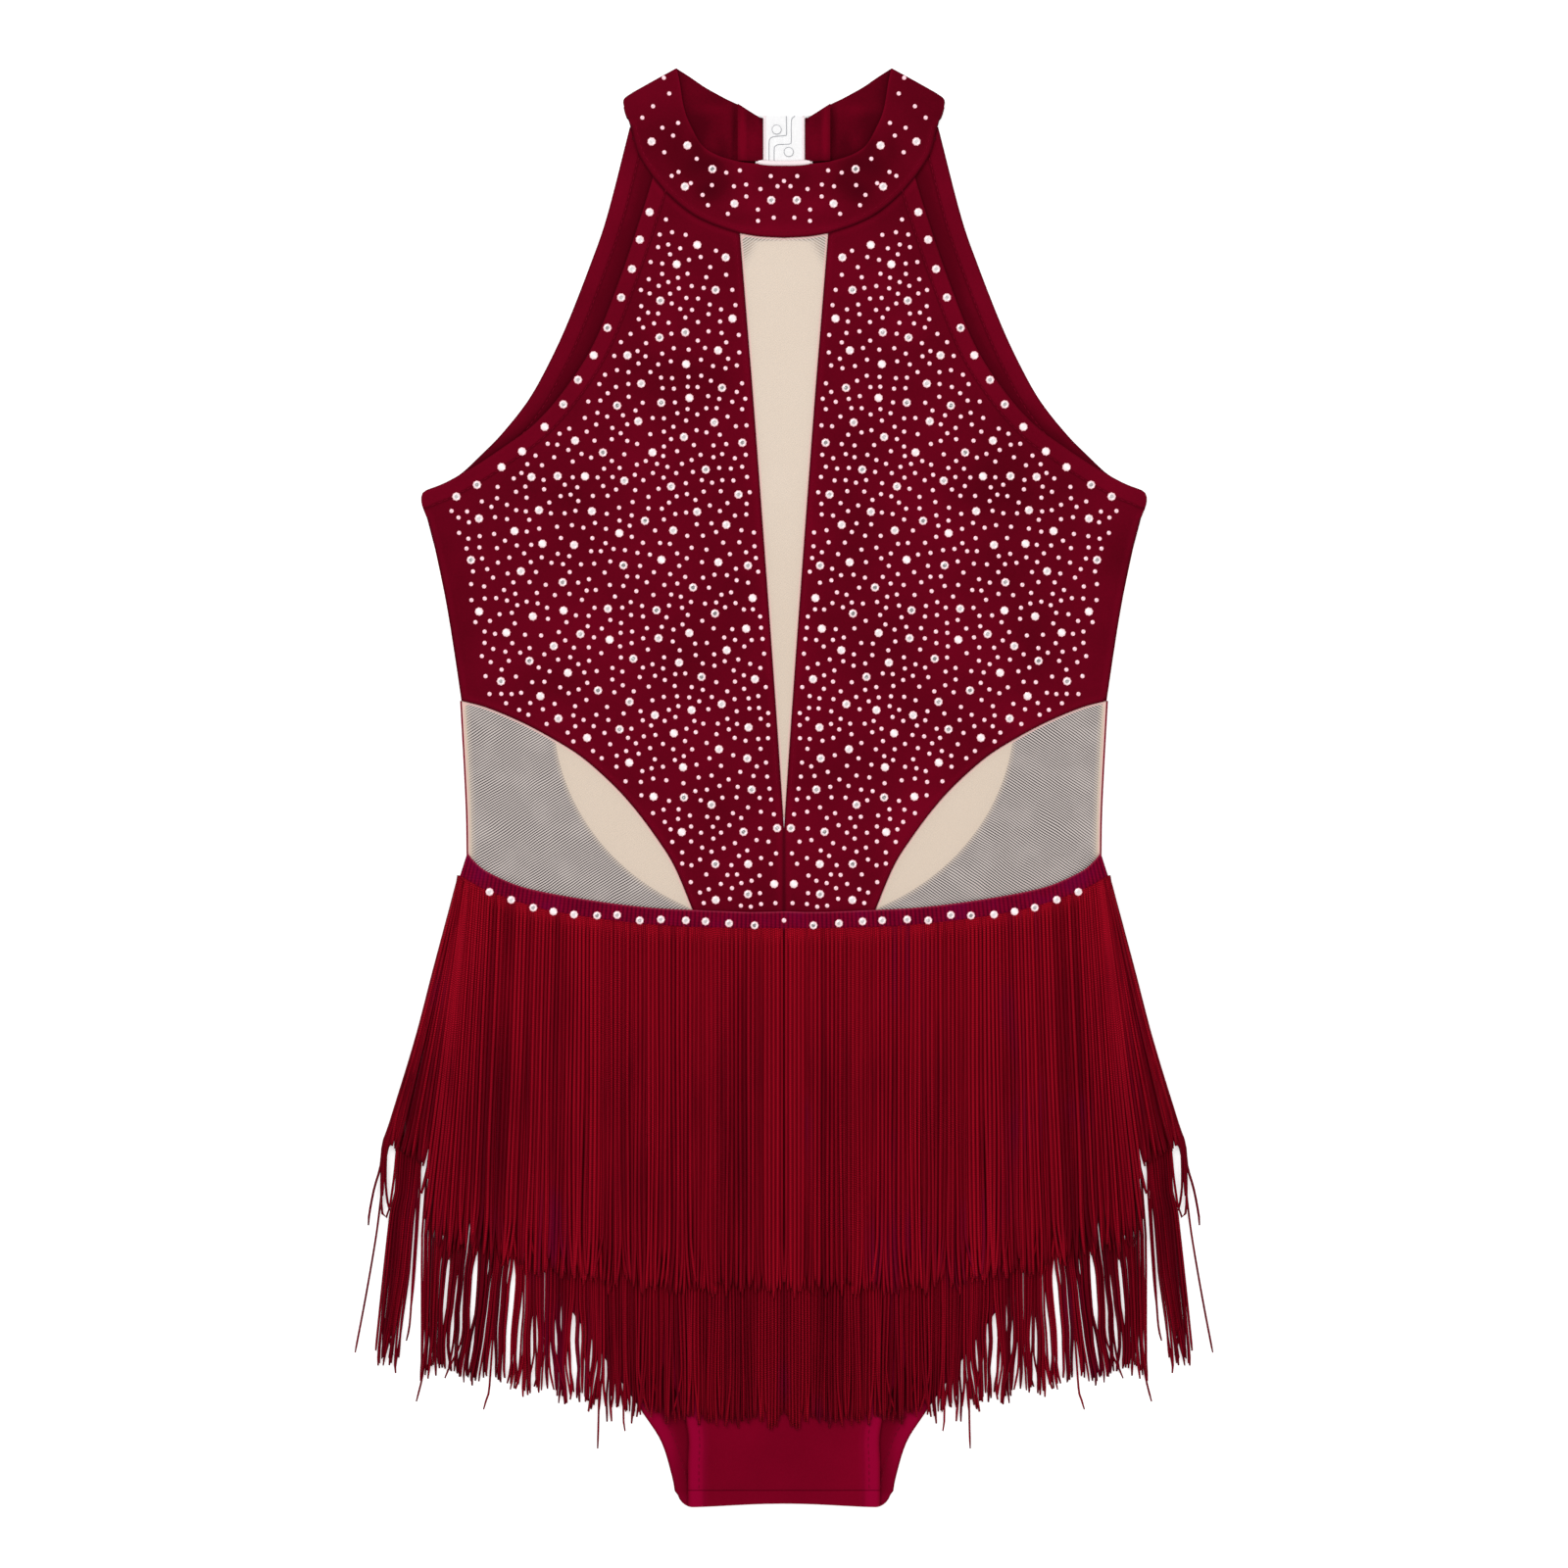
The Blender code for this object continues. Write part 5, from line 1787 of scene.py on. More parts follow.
@dataclass
class FringeTier:
    """One tier of fringe: a knitted heading and two rows of chainette strands.

    Strands lean outwards by a power of their root's place. Guides, from the inside out, take over
    near the sides, and strays are strands with a course of their own.
    """

    name: str
    node: str
    heading: Tuple[Marks, Marks]
    ends: Marks
    level: float
    splay_power: float
    seed: int
    guides: Tuple[Marks, ...] = ()
    strays: Tuple[Marks, ...] = ()
    gaps: Tuple[Gap, ...] = ()
    strands: int = 156
    splay: float = 0.278
    strand_width: float = 1.75
    strand_thick: float = 1.15
    stray_width: float = 1.2
    heading_wall: float = 0.6
    droop_length: float = 45.0
    droop_level: float = 0.5
    short_share: float = 0.05
    wild_tips: float = 0.06
    tip_from: float = 0.87
    wander: float = 1.0
    bare: Tuple[float, float] = (0.0, 0.0)
    even_from: float = FAR
    scatter: float = 1.9
    most_spread: float = 1.8
    steps: int = 42
    sides: int = 5

    def lay_heading(self, finish: Material) -> Piece:
        """Lay the ribbed strip that the strands hang from.

        Args:
            finish: Material of the trim.

        Returns:
            The new object.
        """
        per_rib, rows = 6, 7
        cells = self.strands * per_rib
        top = both_sides(smooth(self.heading[0], cells // 2))
        foot = both_sides(smooth(self.heading[1], cells // 2))
        down = np.linspace(0.0, 1.0, rows)[:, None, None]
        flat = (1 - down) * top[None] + down * (foot[None] - (0.0, 0.8))
        phase = np.arange(cells + 1) / per_rib
        rib = np.abs(np.sin(math.pi * phase))
        rounded = 1 - (2 * down[:, :, 0] - 0.86) ** 4 * 0.6
        heights = TRIM_LEVEL + 0.35 + (0.5 + 0.42 * rib[None]) * rounded
        marks = {"rib": np.repeat(rib[None], rows, axis=0)[::-1],
                 "seam_mm": np.repeat((down[:, :, 0] * 10.0), cells + 1, axis=1)[::-1]}
        piece = lay_grid(f"{self.name}_heading", flat[::-1], heights[::-1], marks, finish)
        add_wall(piece, self.heading_wall, -1.0)
        return piece

    def rest_height(self, x: Array, y: Array) -> Array:
        """Underside of a strand that lies on the brief and droops to the floor beyond it.

        Args:
            x: The points' x, in millimetres.
            y: The points' y, in millimetres.

        Returns:
            The height at each point, in millimetres.
        """
        marks = sorted(FRONT_LEG + HIP_SIDE[1:], key=lambda mark: mark.y)
        half = np.interp(y, [mark.y for mark in marks], [mark.x for mark in marks])
        droop = share_of(np.abs(x) - half, 0.0, self.droop_length)
        return TRIM_LEVEL + (self.droop_level - TRIM_LEVEL) * droop

    def course(self, roots: Array, y: Array) -> Array:
        """Sideways place of strands at levels below their roots.

        Args:
            roots: Their roots on the right half.
            y: Levels, by strand and step.

        Returns:
            Their x, by strand and step.
        """
        reach = self.heading[1][-1].x
        lean = self.splay * (roots[:, :1] / reach) ** self.splay_power
        x = roots[:, :1] + lean * np.maximum(roots[:, 1:] - y, 0.0)
        for inner, outer in zip(self.guides[:-1], self.guides[1:]):
            share = (roots[:, :1] - inner[0].x) / (outer[0].x - inner[0].x)
            near, far = (np.interp(-y, [-mark.y for mark in guide], [mark.x for mark in guide])
                         for guide in (inner, outer))
            x = np.where((share >= 0) & (share <= 1), (1 - share) * near + share * far, x)
        return x

    def root_places(self, shift: float) -> Array:
        """Roots of a row on the right half, closer together where the strands fan out below.

        Args:
            shift: Share of a pitch that the row is moved by.

        Returns:
            The x of each root, in millimetres.
        """
        foot = smooth(self.heading[1], 600)
        level = np.full((len(foot), 1), self.ends[0].y + 30.0)
        spread = np.gradient(self.course(foot, level)[:, 0]) / np.gradient(foot[:, 0])
        steps = np.diff(foot[:, 0]) * np.clip(spread, 1.0, self.most_spread)[1:]
        measure = np.concatenate([[0.0], np.cumsum(steps)])
        pitch = 2 * foot[-1, 0] / self.strands
        places = np.arange(0.5 + shift, measure[-1] / pitch, 1.0) * pitch
        roots = np.column_stack([np.interp(places, measure, foot[:, axis]) for axis in (0, 1)])
        return roots[(roots[:, 0] < self.bare[0]) | (roots[:, 0] > self.bare[1])]

    def end_levels(self, roots: Array) -> Array:
        """Level at which the course of each strand meets the tier's lower edge.

        Args:
            roots: Roots of the strands.

        Returns:
            One level for each strand.
        """
        levels = np.linspace(roots[:, 1].min() - 20.0, self.ends[0].y - 12.0, 400)
        y = np.broadcast_to(levels, (len(roots), len(levels)))
        edge = np.interp(self.course(roots, y), [mark.x for mark in self.ends],
                         [mark.y for mark in self.ends])
        return levels[np.argmax(y <= edge, axis=1)]

    def part_strands(self, x: Array, y: Array) -> Array:
        """Push strands sideways, each as a whole, so that the gaps open.

        Args:
            x: The strands' x, in millimetres.
            y: The strands' y, in millimetres.

        Returns:
            The moved x.
        """
        for gap in self.gaps:
            level = (gap.y + gap.end_y) / 2
            middle = (gap.x + gap.end_x) / 2
            here = np.array([np.interp(-level, -line_y, line_x) for line_x, line_y in zip(x, y)])
            away = (here - middle)[:, None]
            opening = eased(share_of(gap.y - y, -8.0, 10.0))
            closing = eased(share_of(y - gap.end_y, -5.0, 8.0))
            opened = (gap.half * opening * closing
                      * np.exp(-np.abs(away) / (3.0 + 3.0 * gap.half)))
            x = x + np.where(away > 0, 1.0, -1.0) * opened
        return x

    def centre_lines(self, row: Row, rng: np.random.Generator) -> Tuple[Array, Array, Array]:
        """Draw the right half's strands of one row.

        Args:
            row: Which row.
            rng: Source of the strands' unevenness.

        Returns:
            Their centres by strand, step and (x, y, z), each one's tone, and its width.
        """
        shift, drop = row.value
        roots = self.root_places(shift)
        count = len(roots)
        ragged = rng.normal(0.0, self.scatter, count)
        ragged -= np.where(rng.random(count) < self.short_share, rng.uniform(2.0, 6.0, count), 0.0)
        ragged += 1.5 * np.sin(roots[:, 0] * 0.37 + self.seed) + 1.1 * np.sin(roots[:, 0] * 0.83)
        ends = self.end_levels(roots) + ragged * np.where(roots[:, 0] > self.even_from, 0.3, 1.0)
        t = np.linspace(0.0, 1.0, self.steps)[None]
        y = roots[:, 1:] + 1.5 + t * (ends[:, None] - roots[:, 1:] - 1.5)
        fall = np.maximum(roots[:, 1:] - y, 0.0)
        loose = self.wander * np.clip(fall / 190.0, 0.0, 1.2) ** 1.5
        loose = loose * np.clip(roots[:, :1] / 30.0, 0.15, 1.0)
        sides = np.clip(roots[:, :1] / 70.0, 0.35, 1.0)
        x = self.course(roots, y)
        x = x + loose * 0.8 * np.sin(0.19 * roots[:, :1] + fall / 34.0 + self.seed)
        x = x + loose * 0.5 * np.sin(0.53 * roots[:, :1] - fall / 21.0 + 2.0 * self.seed)
        waves = rng.uniform(24.0, 60.0, (count, 1))
        size = rng.gamma(1.6, 0.34, (count, 1)) * sides
        x = x + loose * size * np.sin(fall / waves + rng.uniform(0.0, 6.3, (count, 1)))
        tip = share_of(t, self.tip_from, 1.0) ** 1.6
        turned = rng.normal(0.0, 1.1, (count, 1))
        turned += np.where(rng.random((count, 1)) < self.wild_tips,
                           rng.uniform(-5.5, 5.5, (count, 1)), 0.0)
        x = self.part_strands(x, y) + tip * turned * sides
        turn = rng.uniform(0.0, 6.3, (count, 1))
        lift = 0.5 * loose * (0.5 + 0.5 * np.sin(fall / waves * 1.3 + turn))
        rise = share_of(fall, 0.0, 6.0)
        tones = rng.beta(1.5, 1.5, count) + 0.18 * np.sin(roots[:, 0] * 0.21)
        widths = self.strand_width * rng.uniform(0.86, 1.12, count)
        crowd = share_of(roots[:, :1], 148.0, 156.0) * rng.uniform(0.0, 0.7, (count, 1))
        lines = np.dstack([x, y, 0.15 + (self.level - drop + crowd - 0.15) * rise + lift])
        if row is Row.FRONT and self.strays:
            extra = np.array([smooth(stray, self.steps - 1) for stray in self.strays])
            extra = np.dstack([extra, np.full(extra.shape[:2], self.level)])
            lines = np.concatenate([lines, extra])
            tones = np.append(tones, rng.uniform(0.3, 0.8, len(extra)))
            widths = np.append(widths, np.full(len(extra), self.stray_width))
        lines[..., 2] += self.rest_height(lines[..., 0], lines[..., 1]) + self.strand_thick / 2
        lines[..., 2] = np.maximum(lines[..., 2], self.strand_thick / 2 + 0.1)
        return lines, np.clip(tones, 0.0, 1.0), widths

    def lay_row(self, row: Row, finish: Material) -> Piece:
        """Lay one row of strands as one piece; the left half mirrors the right.

        Args:
            row: Which row.
            finish: Material of the yarn.

        Returns:
            The new object.
        """
        rng = np.random.default_rng(self.seed * 10 + (1 if row is Row.BEHIND else 0))
        half, tones, widths = self.centre_lines(row, rng)
        centres = np.concatenate([half, half * MIRROR])
        tones, widths = np.tile(tones, 2), np.tile(widths, 2)
        t = np.linspace(0.0, 1.0, self.steps)[None]
        taper = np.minimum(1.0, 0.7 + (1.0 - t) * 12.0)
        width = widths[:, None] * taper
        thick = np.full_like(width, self.strand_thick) * taper
        corners, across = tube_rows(centres, crosswise(centres), width, thick, self.sides)
        piece = add_piece(f"{self.name}_strands_{row.word}", corners.reshape(-1, 3),
                          tube_faces(len(centres), self.steps, self.sides), finish)
        along = np.array([travelled(line[:, :2]) for line in centres])
        yarn = np.empty(corners.shape)
        yarn[..., 0] = tones[:, None, None]
        yarn[..., 1] = across
        yarn[..., 2] = (along + tones[:, None] * 7.0)[:, :, None]
        store(piece, "yarn", yarn.reshape(-1, 3))
        piece.data.shade_smooth()
        return piece

    def build(self, ribbed: Material, yarn: Material) -> List[Piece]:
        """Lay the heading and both rows.

        Args:
            ribbed: Material of the heading.
            yarn: Material of the strands.

        Returns:
            The new objects.
        """
        made = [self.lay_heading(ribbed)] + [self.lay_row(row, yarn) for row in Row]
        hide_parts(self.node)
        return made


Stone = Tuple[float, float, float]


@dataclass
class Rhinestones:
    """Stones in two sizes: scattered on the bodice and collar, and in rows along edges."""

    small: float = 1.17
    large: float = 2.25
    heading_size: float = 2.15
    small_apart: float = 4.6
    large_apart: float = 12.8
    small_room: float = 50.0
    large_room: float = 325.0
    large_tries: int = 6000
    small_tries: int = 26000
    facets: int = 8
    profile: Tuple[Tuple[float, float, float], ...] = (
        (0.0, 1.0, 0.0), (0.0, 1.0, 0.14), (0.5, 0.8, 0.34), (0.0, 0.46, 0.5))
    armhole_row: Marks = pattern(167, 148.5, 156.5, 154.5, 144, 163.5, 133.5, 171.5, 122, 184,
                                 112.5, 195.5, 105, 208, 97, 220.5, 90, 234.5, 83, 250,
                                 77.5, 264.5, 73.5, 279.5, 68.5, 293.5)
    collar_row: Marks = pattern(67.5, 329.5, 49.25, 327.5, 36.5, 315.5, 50.5, 306.5, 25.25, 297.75,
                                6.5, 299.5)
    collar_small: Marks = pattern(6.75, 311.8, 0, 309.3, 3.3, 306.6, 12, 305.2, 19.3, 307.5,
                                  19.2, 301.4, 25.5, 306.6, 22.5, 314.7, 29.4, 313.6, 13.3, 294.7,
                                  13.25, 289, 5.25, 290.6, 28.6, 292.6, 61.25, 362, 58.5, 354,
                                  66.75, 347.5, 72.25, 341.75, 54, 339, 62, 336.5, 56.5, 332.5,
                                  61, 324, 44.5, 320.75, 53.75, 314, 57.25, 312, 47.5, 308.25,
                                  36.75, 307.25, 41.5, 302.25, 38.75, 297)
    tip_pairs: Marks = pattern(3.5, -20.5, 5, -49)
    heading_row: Marks = pattern(150, -53, 139, -57, 127.75, -61, 117.5, -63, 107, -64.5,
                                 95.25, -65, 85, -64.75, 73.5, -67.5, 62.75, -67, 50, -67.5,
                                 40, -68, 28, -69, 15, -70)

    @staticmethod
    def away_from_each(spots: Array, taken: Sequence[Stone]) -> Array:
        """Distance of each spot (row) from each stone so far (column)."""
        places = np.array(taken)
        return np.hypot(spots[:, :1] - places[:, 0], spots[:, 1:2] - places[:, 1])

    def scatter(self, outline: Array, keep_off: Sequence[Tuple[Array, float]],
                taken: List[Stone], apart: float, radius: float,
                rng: np.random.Generator, tries: int, room: float, choices: int = 3) -> None:
        """Scatter stones inside an outline, apart from each other and from what is there.

        Args:
            outline: Closed outline to stay in.
            keep_off: Runs with the margin to keep from each.
            taken: Stones so far as (x, y, radius); the new ones are added.
            apart: Least distance between centres of these stones.
            radius: Their radius.
            rng: Source of the scatter.
            tries: Number of places to choose from.
            room: Area that each stone has on average, in square millimetres.
            choices: Places compared for each stone; the one with most room is taken.
        """
        low, high = outline.min(axis=0), outline.max(axis=0)
        spots = rng.uniform(low, high, (tries, 2))
        spots = spots[inside(spots, outline)]
        for run, margin in keep_off:
            spots = spots[away_from(spots, [run]) > margin]
        allowed = float((high - low).prod()) * len(spots) / tries
        sizes = np.array([place[2] for place in taken])
        needed = np.where(sizes > radius + 0.1, apart + 0.6, apart)
        spare = (self.away_from_each(spots, taken) - needed).min(axis=1)
        for _ in range(int(allowed / room)):
            free = np.flatnonzero(spare >= 0.0)
            if not len(free):
                break
            picked = rng.choice(free, choices)
            best = picked[np.argmax(spare[picked])]
            taken.append((spots[best, 0], spots[best, 1], radius))
            spare = np.minimum(spare, np.hypot(*(spots - spots[best]).T) - apart)

    def bodice_spots(self) -> List[Stone]:
        """Stones of the right half of the bodice, as (x, y, radius).

        Returns:
            The stones, in millimetres.
        """
        rng = np.random.default_rng(11)
        outline = outline_of(**Bodice().cuts(Side.RIGHT)[0].runs())
        stones = [(mark.x, mark.y, self.large) for mark in self.armhole_row + self.tip_pairs]
        side = draft((SIDE_SEAM, UNDERARM[:3]), 30)
        armhole = draft(ARMHOLE, 60)
        edges = [(side, 12.5), (armhole, 12.0), (smooth(INSERT_ARC, 50), 4.2),
                 (smooth(COLLAR_SEAM_PANEL, 20), 9.5), (smooth(V_EDGE, 60), 4.0),
                 (np.array([[0.0, -70.0], [0.0, V_TIP]]), 3.6),
                 (smooth(WAIST_MIDDLE, 20), 5.2)]
        wide = [(run, margin + 3.0) for run, margin in edges]
        self.scatter(outline, wide, stones, self.large_apart, self.large, rng,
                     self.large_tries, self.large_room)
        self.scatter(outline, edges, stones, self.small_apart, self.small, rng,
                     self.small_tries, self.small_room)
        return stones

    def collar_spots(self) -> List[Stone]:
        """Stones of the right half of the collar, as (x, y, radius)."""
        return ([(mark.x, mark.y, self.large) for mark in self.collar_row]
                + [(mark.x, mark.y, self.small) for mark in self.collar_small])

    @staticmethod
    def on_both_sides(spots: Sequence[Stone]) -> List[Stone]:
        """Stones with their mirror images, where they don't lie on the middle."""
        return list(spots) + [(-x, y, radius) for x, y, radius in spots if x > 0.01]

    def stone_mesh(self, spots: Sequence[Stone], height: Height, seed: int
                   ) -> Tuple[Array, List[Tuple[int, ...]], Array]:
        """Cut all the stones of a piece.

        Args:
            spots: Their (x, y, radius).
            height: Surface that they sit on.
            seed: Seed of their slight turns and tilts.

        Returns:
            Vertices, faces, and for each vertex its radius share, shade and size.
        """
        vertices, faces, marks = [], [], []
        for x, y, radius in spots:
            rng = np.random.default_rng([seed, int(abs(x) * 8), int(y * 8) + 8000])
            turn, shade = rng.uniform(0.0, 6.3), rng.uniform(0.0, 1.0)
            tilt = rng.normal(0.0, 0.05, 2)
            level = float(height(np.array([x]), np.array([y]))[0])
            size = float(radius > self.small * 1.5)
            start = len(vertices)
            for half_step, share, rise in self.profile:
                for corner in range(self.facets):
                    angle = turn + (corner + half_step) * TURN / self.facets
                    dx, dy = radius * share * math.cos(angle), radius * share * math.sin(angle)
                    z = level + radius * rise + tilt[0] * dx + tilt[1] * dy
                    vertices.append((x + dx, y + dy, z))
                    marks.append((share, shade, size))
            vertices.append((x, y, level + radius * self.profile[-1][2]))
            marks.append((0.0, shade, size))
            n = self.facets
            for corner in range(n):
                after = (corner + 1) % n
                a, b, c, d = (start + ring * n for ring in range(4))
                faces.append((a + corner, a + after, b + after, b + corner))
                faces.append((b + corner, b + after, c + corner))
                faces.append((b + after, c + after, c + corner))
                faces.append((c + corner, d + after, d + corner))
                faces.append((c + corner, c + after, d + after))
                faces.append((d + corner, d + after, start + 4 * n))
            faces.append(tuple(start + corner for corner in reversed(range(n))))
        return np.array(vertices), faces, np.array(marks)

    def lay(self, name: str, spots: Sequence[Stone], height: Height,
            finish: Material, seed: int) -> Piece:
        """Lay one piece of stones.

        Args:
            name: Name of the piece.
            spots: Its stones.
            height: Height of the cloth under them.
            finish: Material of the stones.
            seed: Start of their random turns.

        Returns:
            The new object.
        """
        vertices, faces, marks = self.stone_mesh(spots, height, seed)
        piece = add_piece(f"rhinestones_{name}", vertices, faces, finish)
        store(piece, "stone", marks)
        return piece

    def build(self, finish: Material) -> Dict[str, Piece]:
        """Lay all the stones.

        Args:
            finish: Their material.

        Returns:
            The pieces, by what they are stuck on.
        """
        heading = [(mark.x, mark.y, self.heading_size) for mark in self.heading_row]
        heading.append((0.0, -67.5, 1.3))
        bodice = self.bodice_spots()
        made = {side.word: self.lay(f"bodice_{side.word}",
                                    [(x * side.value, y, radius) for x, y, radius in bodice],
                                    above(bodice_height, CLOTH), finish, 3) for side in Side}
        made["collar"] = self.lay("collar", self.on_both_sides(self.collar_spots()),
                                  above(collar_height, CLOTH), finish, 31)
        made["heading"] = self.lay("heading", self.on_both_sides(heading),
                                   flat_height(TRIM_LEVEL + 1.25), finish, 9)
        return made


@dataclass
class Stitching:
    """Rows of stitches along hems and seams, and the side seams' thread."""

    length: float = 2.3
    space: float = 1.0
    width: float = 0.42
    seam_width: float = 1.0
    sides: int = 6

    def stitch_row(self, run: Array, height: Height) -> Array:
        """Draw the stitches of one row.

        Args:
            run: Line of the row.
            height: Surface that the stitches lie on.

        Returns:
            Their centres by stitch, step and (x, y, z).
        """
        places = travelled(run)
        total = places[-1]
        count = max(2, int(total / (self.length + self.space)))
        starts = (np.arange(count) + 0.15) * total / count
        t = np.linspace(0.0, 1.0, 5)
        wanted = starts[:, None] + t * self.length
        x = np.interp(wanted, places, run[:, 0])
        y = np.interp(wanted, places, run[:, 1])
        z = height(x, y) + self.width * (0.28 * np.sin(math.pi * t) - 0.1)
        return np.dstack([x, y, z])

    def lay(self, name: str, rows: Sequence[Tuple[Array, Height]], finish: Material) -> Piece:
        """Lay rows of stitches as one piece, on both halves of the garment.

        Args:
            name: Name of the piece.
            rows: Lines on the right half, with the surfaces that they lie on.
            finish: Material of the thread.

        Returns:
            The new object.
        """
        drawn = [self.stitch_row(run, height) for run, height in rows]
        centres = np.concatenate([line * side for line in drawn for side in ((1.0,) * 3, MIRROR)])
        profile = np.array([0.45, 0.9, 1.0, 0.9, 0.45])
        widths = np.broadcast_to(profile * self.width, centres.shape[:2])
        return lay_tubes(name, centres, widths, finish, self.sides)

    def lay_side_seams(self, finish: Material) -> Piece:
        """Lay the narrow rolled seams at the sides of the waist.

        Args:
            finish: Material of the thread.

        Returns:
            The new object.
        """
        run = smooth(WAIST_SIDE, 40) + (0.25, 0.0)
        line = np.dstack([run[None, :, 0], run[None, :, 1], np.full((1, len(run)), 1.7)])
        centres = np.concatenate([line, line * MIRROR])
        widths = np.full(centres.shape[:2], self.seam_width)
        return lay_tubes("side_seams", centres, widths, finish, 8)

    def build(self, finish: Material) -> Dict[str, Piece]:
        """Sew the hems and seams.

        Args:
            finish: Material of the thread.

        Returns:
            The pieces, by what they are sewn on.
        """
        on_front = above(bodice_height, CLOTH)
        armhole = shifted(draft(ARMHOLE, 80), 8.2)
        v_row = shifted(smooth(V_EDGE, 80), -2.2)[4:]
        arc = shifted(smooth(INSERT_ARC, 60), 2.2)[3:-2]
        band = shifted(draft((UNDERARM[3:], BACK_ARMHOLE), 80), 8.2)
        collar = shifted(draft(COLLAR_SEAM, 60), 2.6)
        leg = shifted(smooth(FRONT_LEG[:4], 20), 5.6)
        back_leg = shifted(smooth(BACK_LEG[:5], 30), 6.8)
        return {
            "bodice": self.lay("stitches_bodice",
                               [(armhole, on_front), (v_row, on_front), (arc, on_front)], finish),
            "band": self.lay("stitches_bands", [(band, flat_height(CLOTH))], finish),
            "collar": self.lay("stitches_collar",
                               [(collar, above(collar_height, CLOTH))], finish),
            "side": self.lay_side_seams(finish),
            "brief": self.lay("stitches_brief", [
                (leg, above(brief_height, CLOTH)),
                (back_leg, flat_height(CLOTH))], finish),
        }


@dataclass
class Clasp:
    """Clear clasp at the back of the neck: its solids stay, with raised rims moulded on them whose
    dark grey is painted shade along the plastic's edges.
    """

    bevel: float = 0.2
    top: float = 2.35
    rim_width: float = 0.36
    bar_x: float = 9.9
    bar_width: float = 1.2
    lip_half: float = 14.4
    lip_y: float = 318.4
    lip_rise: float = 1.0
    lip_level: float = 2.6
    lip_width: float = 2.8
    half_height: float = 12.2
    pips: Marks = pattern(-3.75, 5.2, 2.4, -6.2)
    pip_radius: float = 2.25
    hook: Marks = pattern(5.6, 12.2, 4, 10.6, 3.6, 8, 3.6, -1, 2.6, -2.2, -2.6, -2.4, -4.6, -3.4,
                          -5, -5.2, -5, -12.2)
    tongue: Marks = pattern(1.2, 12, 1.3, 3.4, 0.4, 2.2, -5.2, 1.6, -7.2, 0.4, -7.6, -2,
                            -7.6, -12.2)

    def dress(self, finish: Material) -> None:
        """Round the edges of the clasp's halves and give them their material.

        Args:
            finish: Material of the plastic.
        """
        for side in Side:
            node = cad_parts[f"clasp_{side.word}"]
            node.data.materials.clear()
            node.data.materials.append(finish)
            rounding = node.modifiers.new("rounding", "BEVEL")
            rounding.width = self.bevel * MM
            rounding.segments = 2
            rounding.limit_method = "ANGLE"
            log.info("clasp_%s: dressed", side.word)

    def lay_rims(self, finish: Material) -> Piece:
        """Lay the rims along the hook and its tongue and round the pips.

        Args:
            finish: Material of the rims.

        Returns:
            The new object.
        """
        steps = 48
        turn = np.linspace(0.0, TURN, steps + 1)
        lines = [smooth(marks, steps) for marks in (self.hook, self.tongue)]
        lines += [np.column_stack([pip.x + self.pip_radius * np.cos(turn),
                                   pip.y + self.pip_radius * np.sin(turn)]) for pip in self.pips]
        levels = np.array([self.top] * 2 + [self.top + 0.3] * 2)
        flat = np.array(lines) + (0.0, CLASP_Y)
        centres = np.dstack([flat, np.broadcast_to(levels[:, None], flat.shape[:2])])
        return lay_tubes("clasp_rims", centres, np.full(flat.shape[:2], self.rim_width), finish, 8)

    def lay_bars(self, finish: Material) -> Piece:
        """Lay the bars that the cloth is looped round.

        Args:
            finish: Material of the bars.

        Returns:
            The new object.
        """
        level = np.linspace(-self.half_height, self.half_height, 13)
        lines = [np.column_stack([np.full_like(level, side.value * self.bar_x),
                                  level + CLASP_Y, np.full_like(level, self.top - 0.15)])
                 for side in Side]
        across = np.linspace(-1.0, 1.0, 13)
        lines.append(np.column_stack([self.lip_half * across,
                                      self.lip_y + self.lip_rise * np.abs(across) ** 3,
                                      np.full_like(across, self.lip_level)]))
        widths = np.full((3, 13), self.bar_width)
        widths[2] = self.lip_width * (1 - 0.3 * np.abs(across) ** 8)
        return lay_tubes("clasp_bars", np.array(lines), widths, finish, 8)


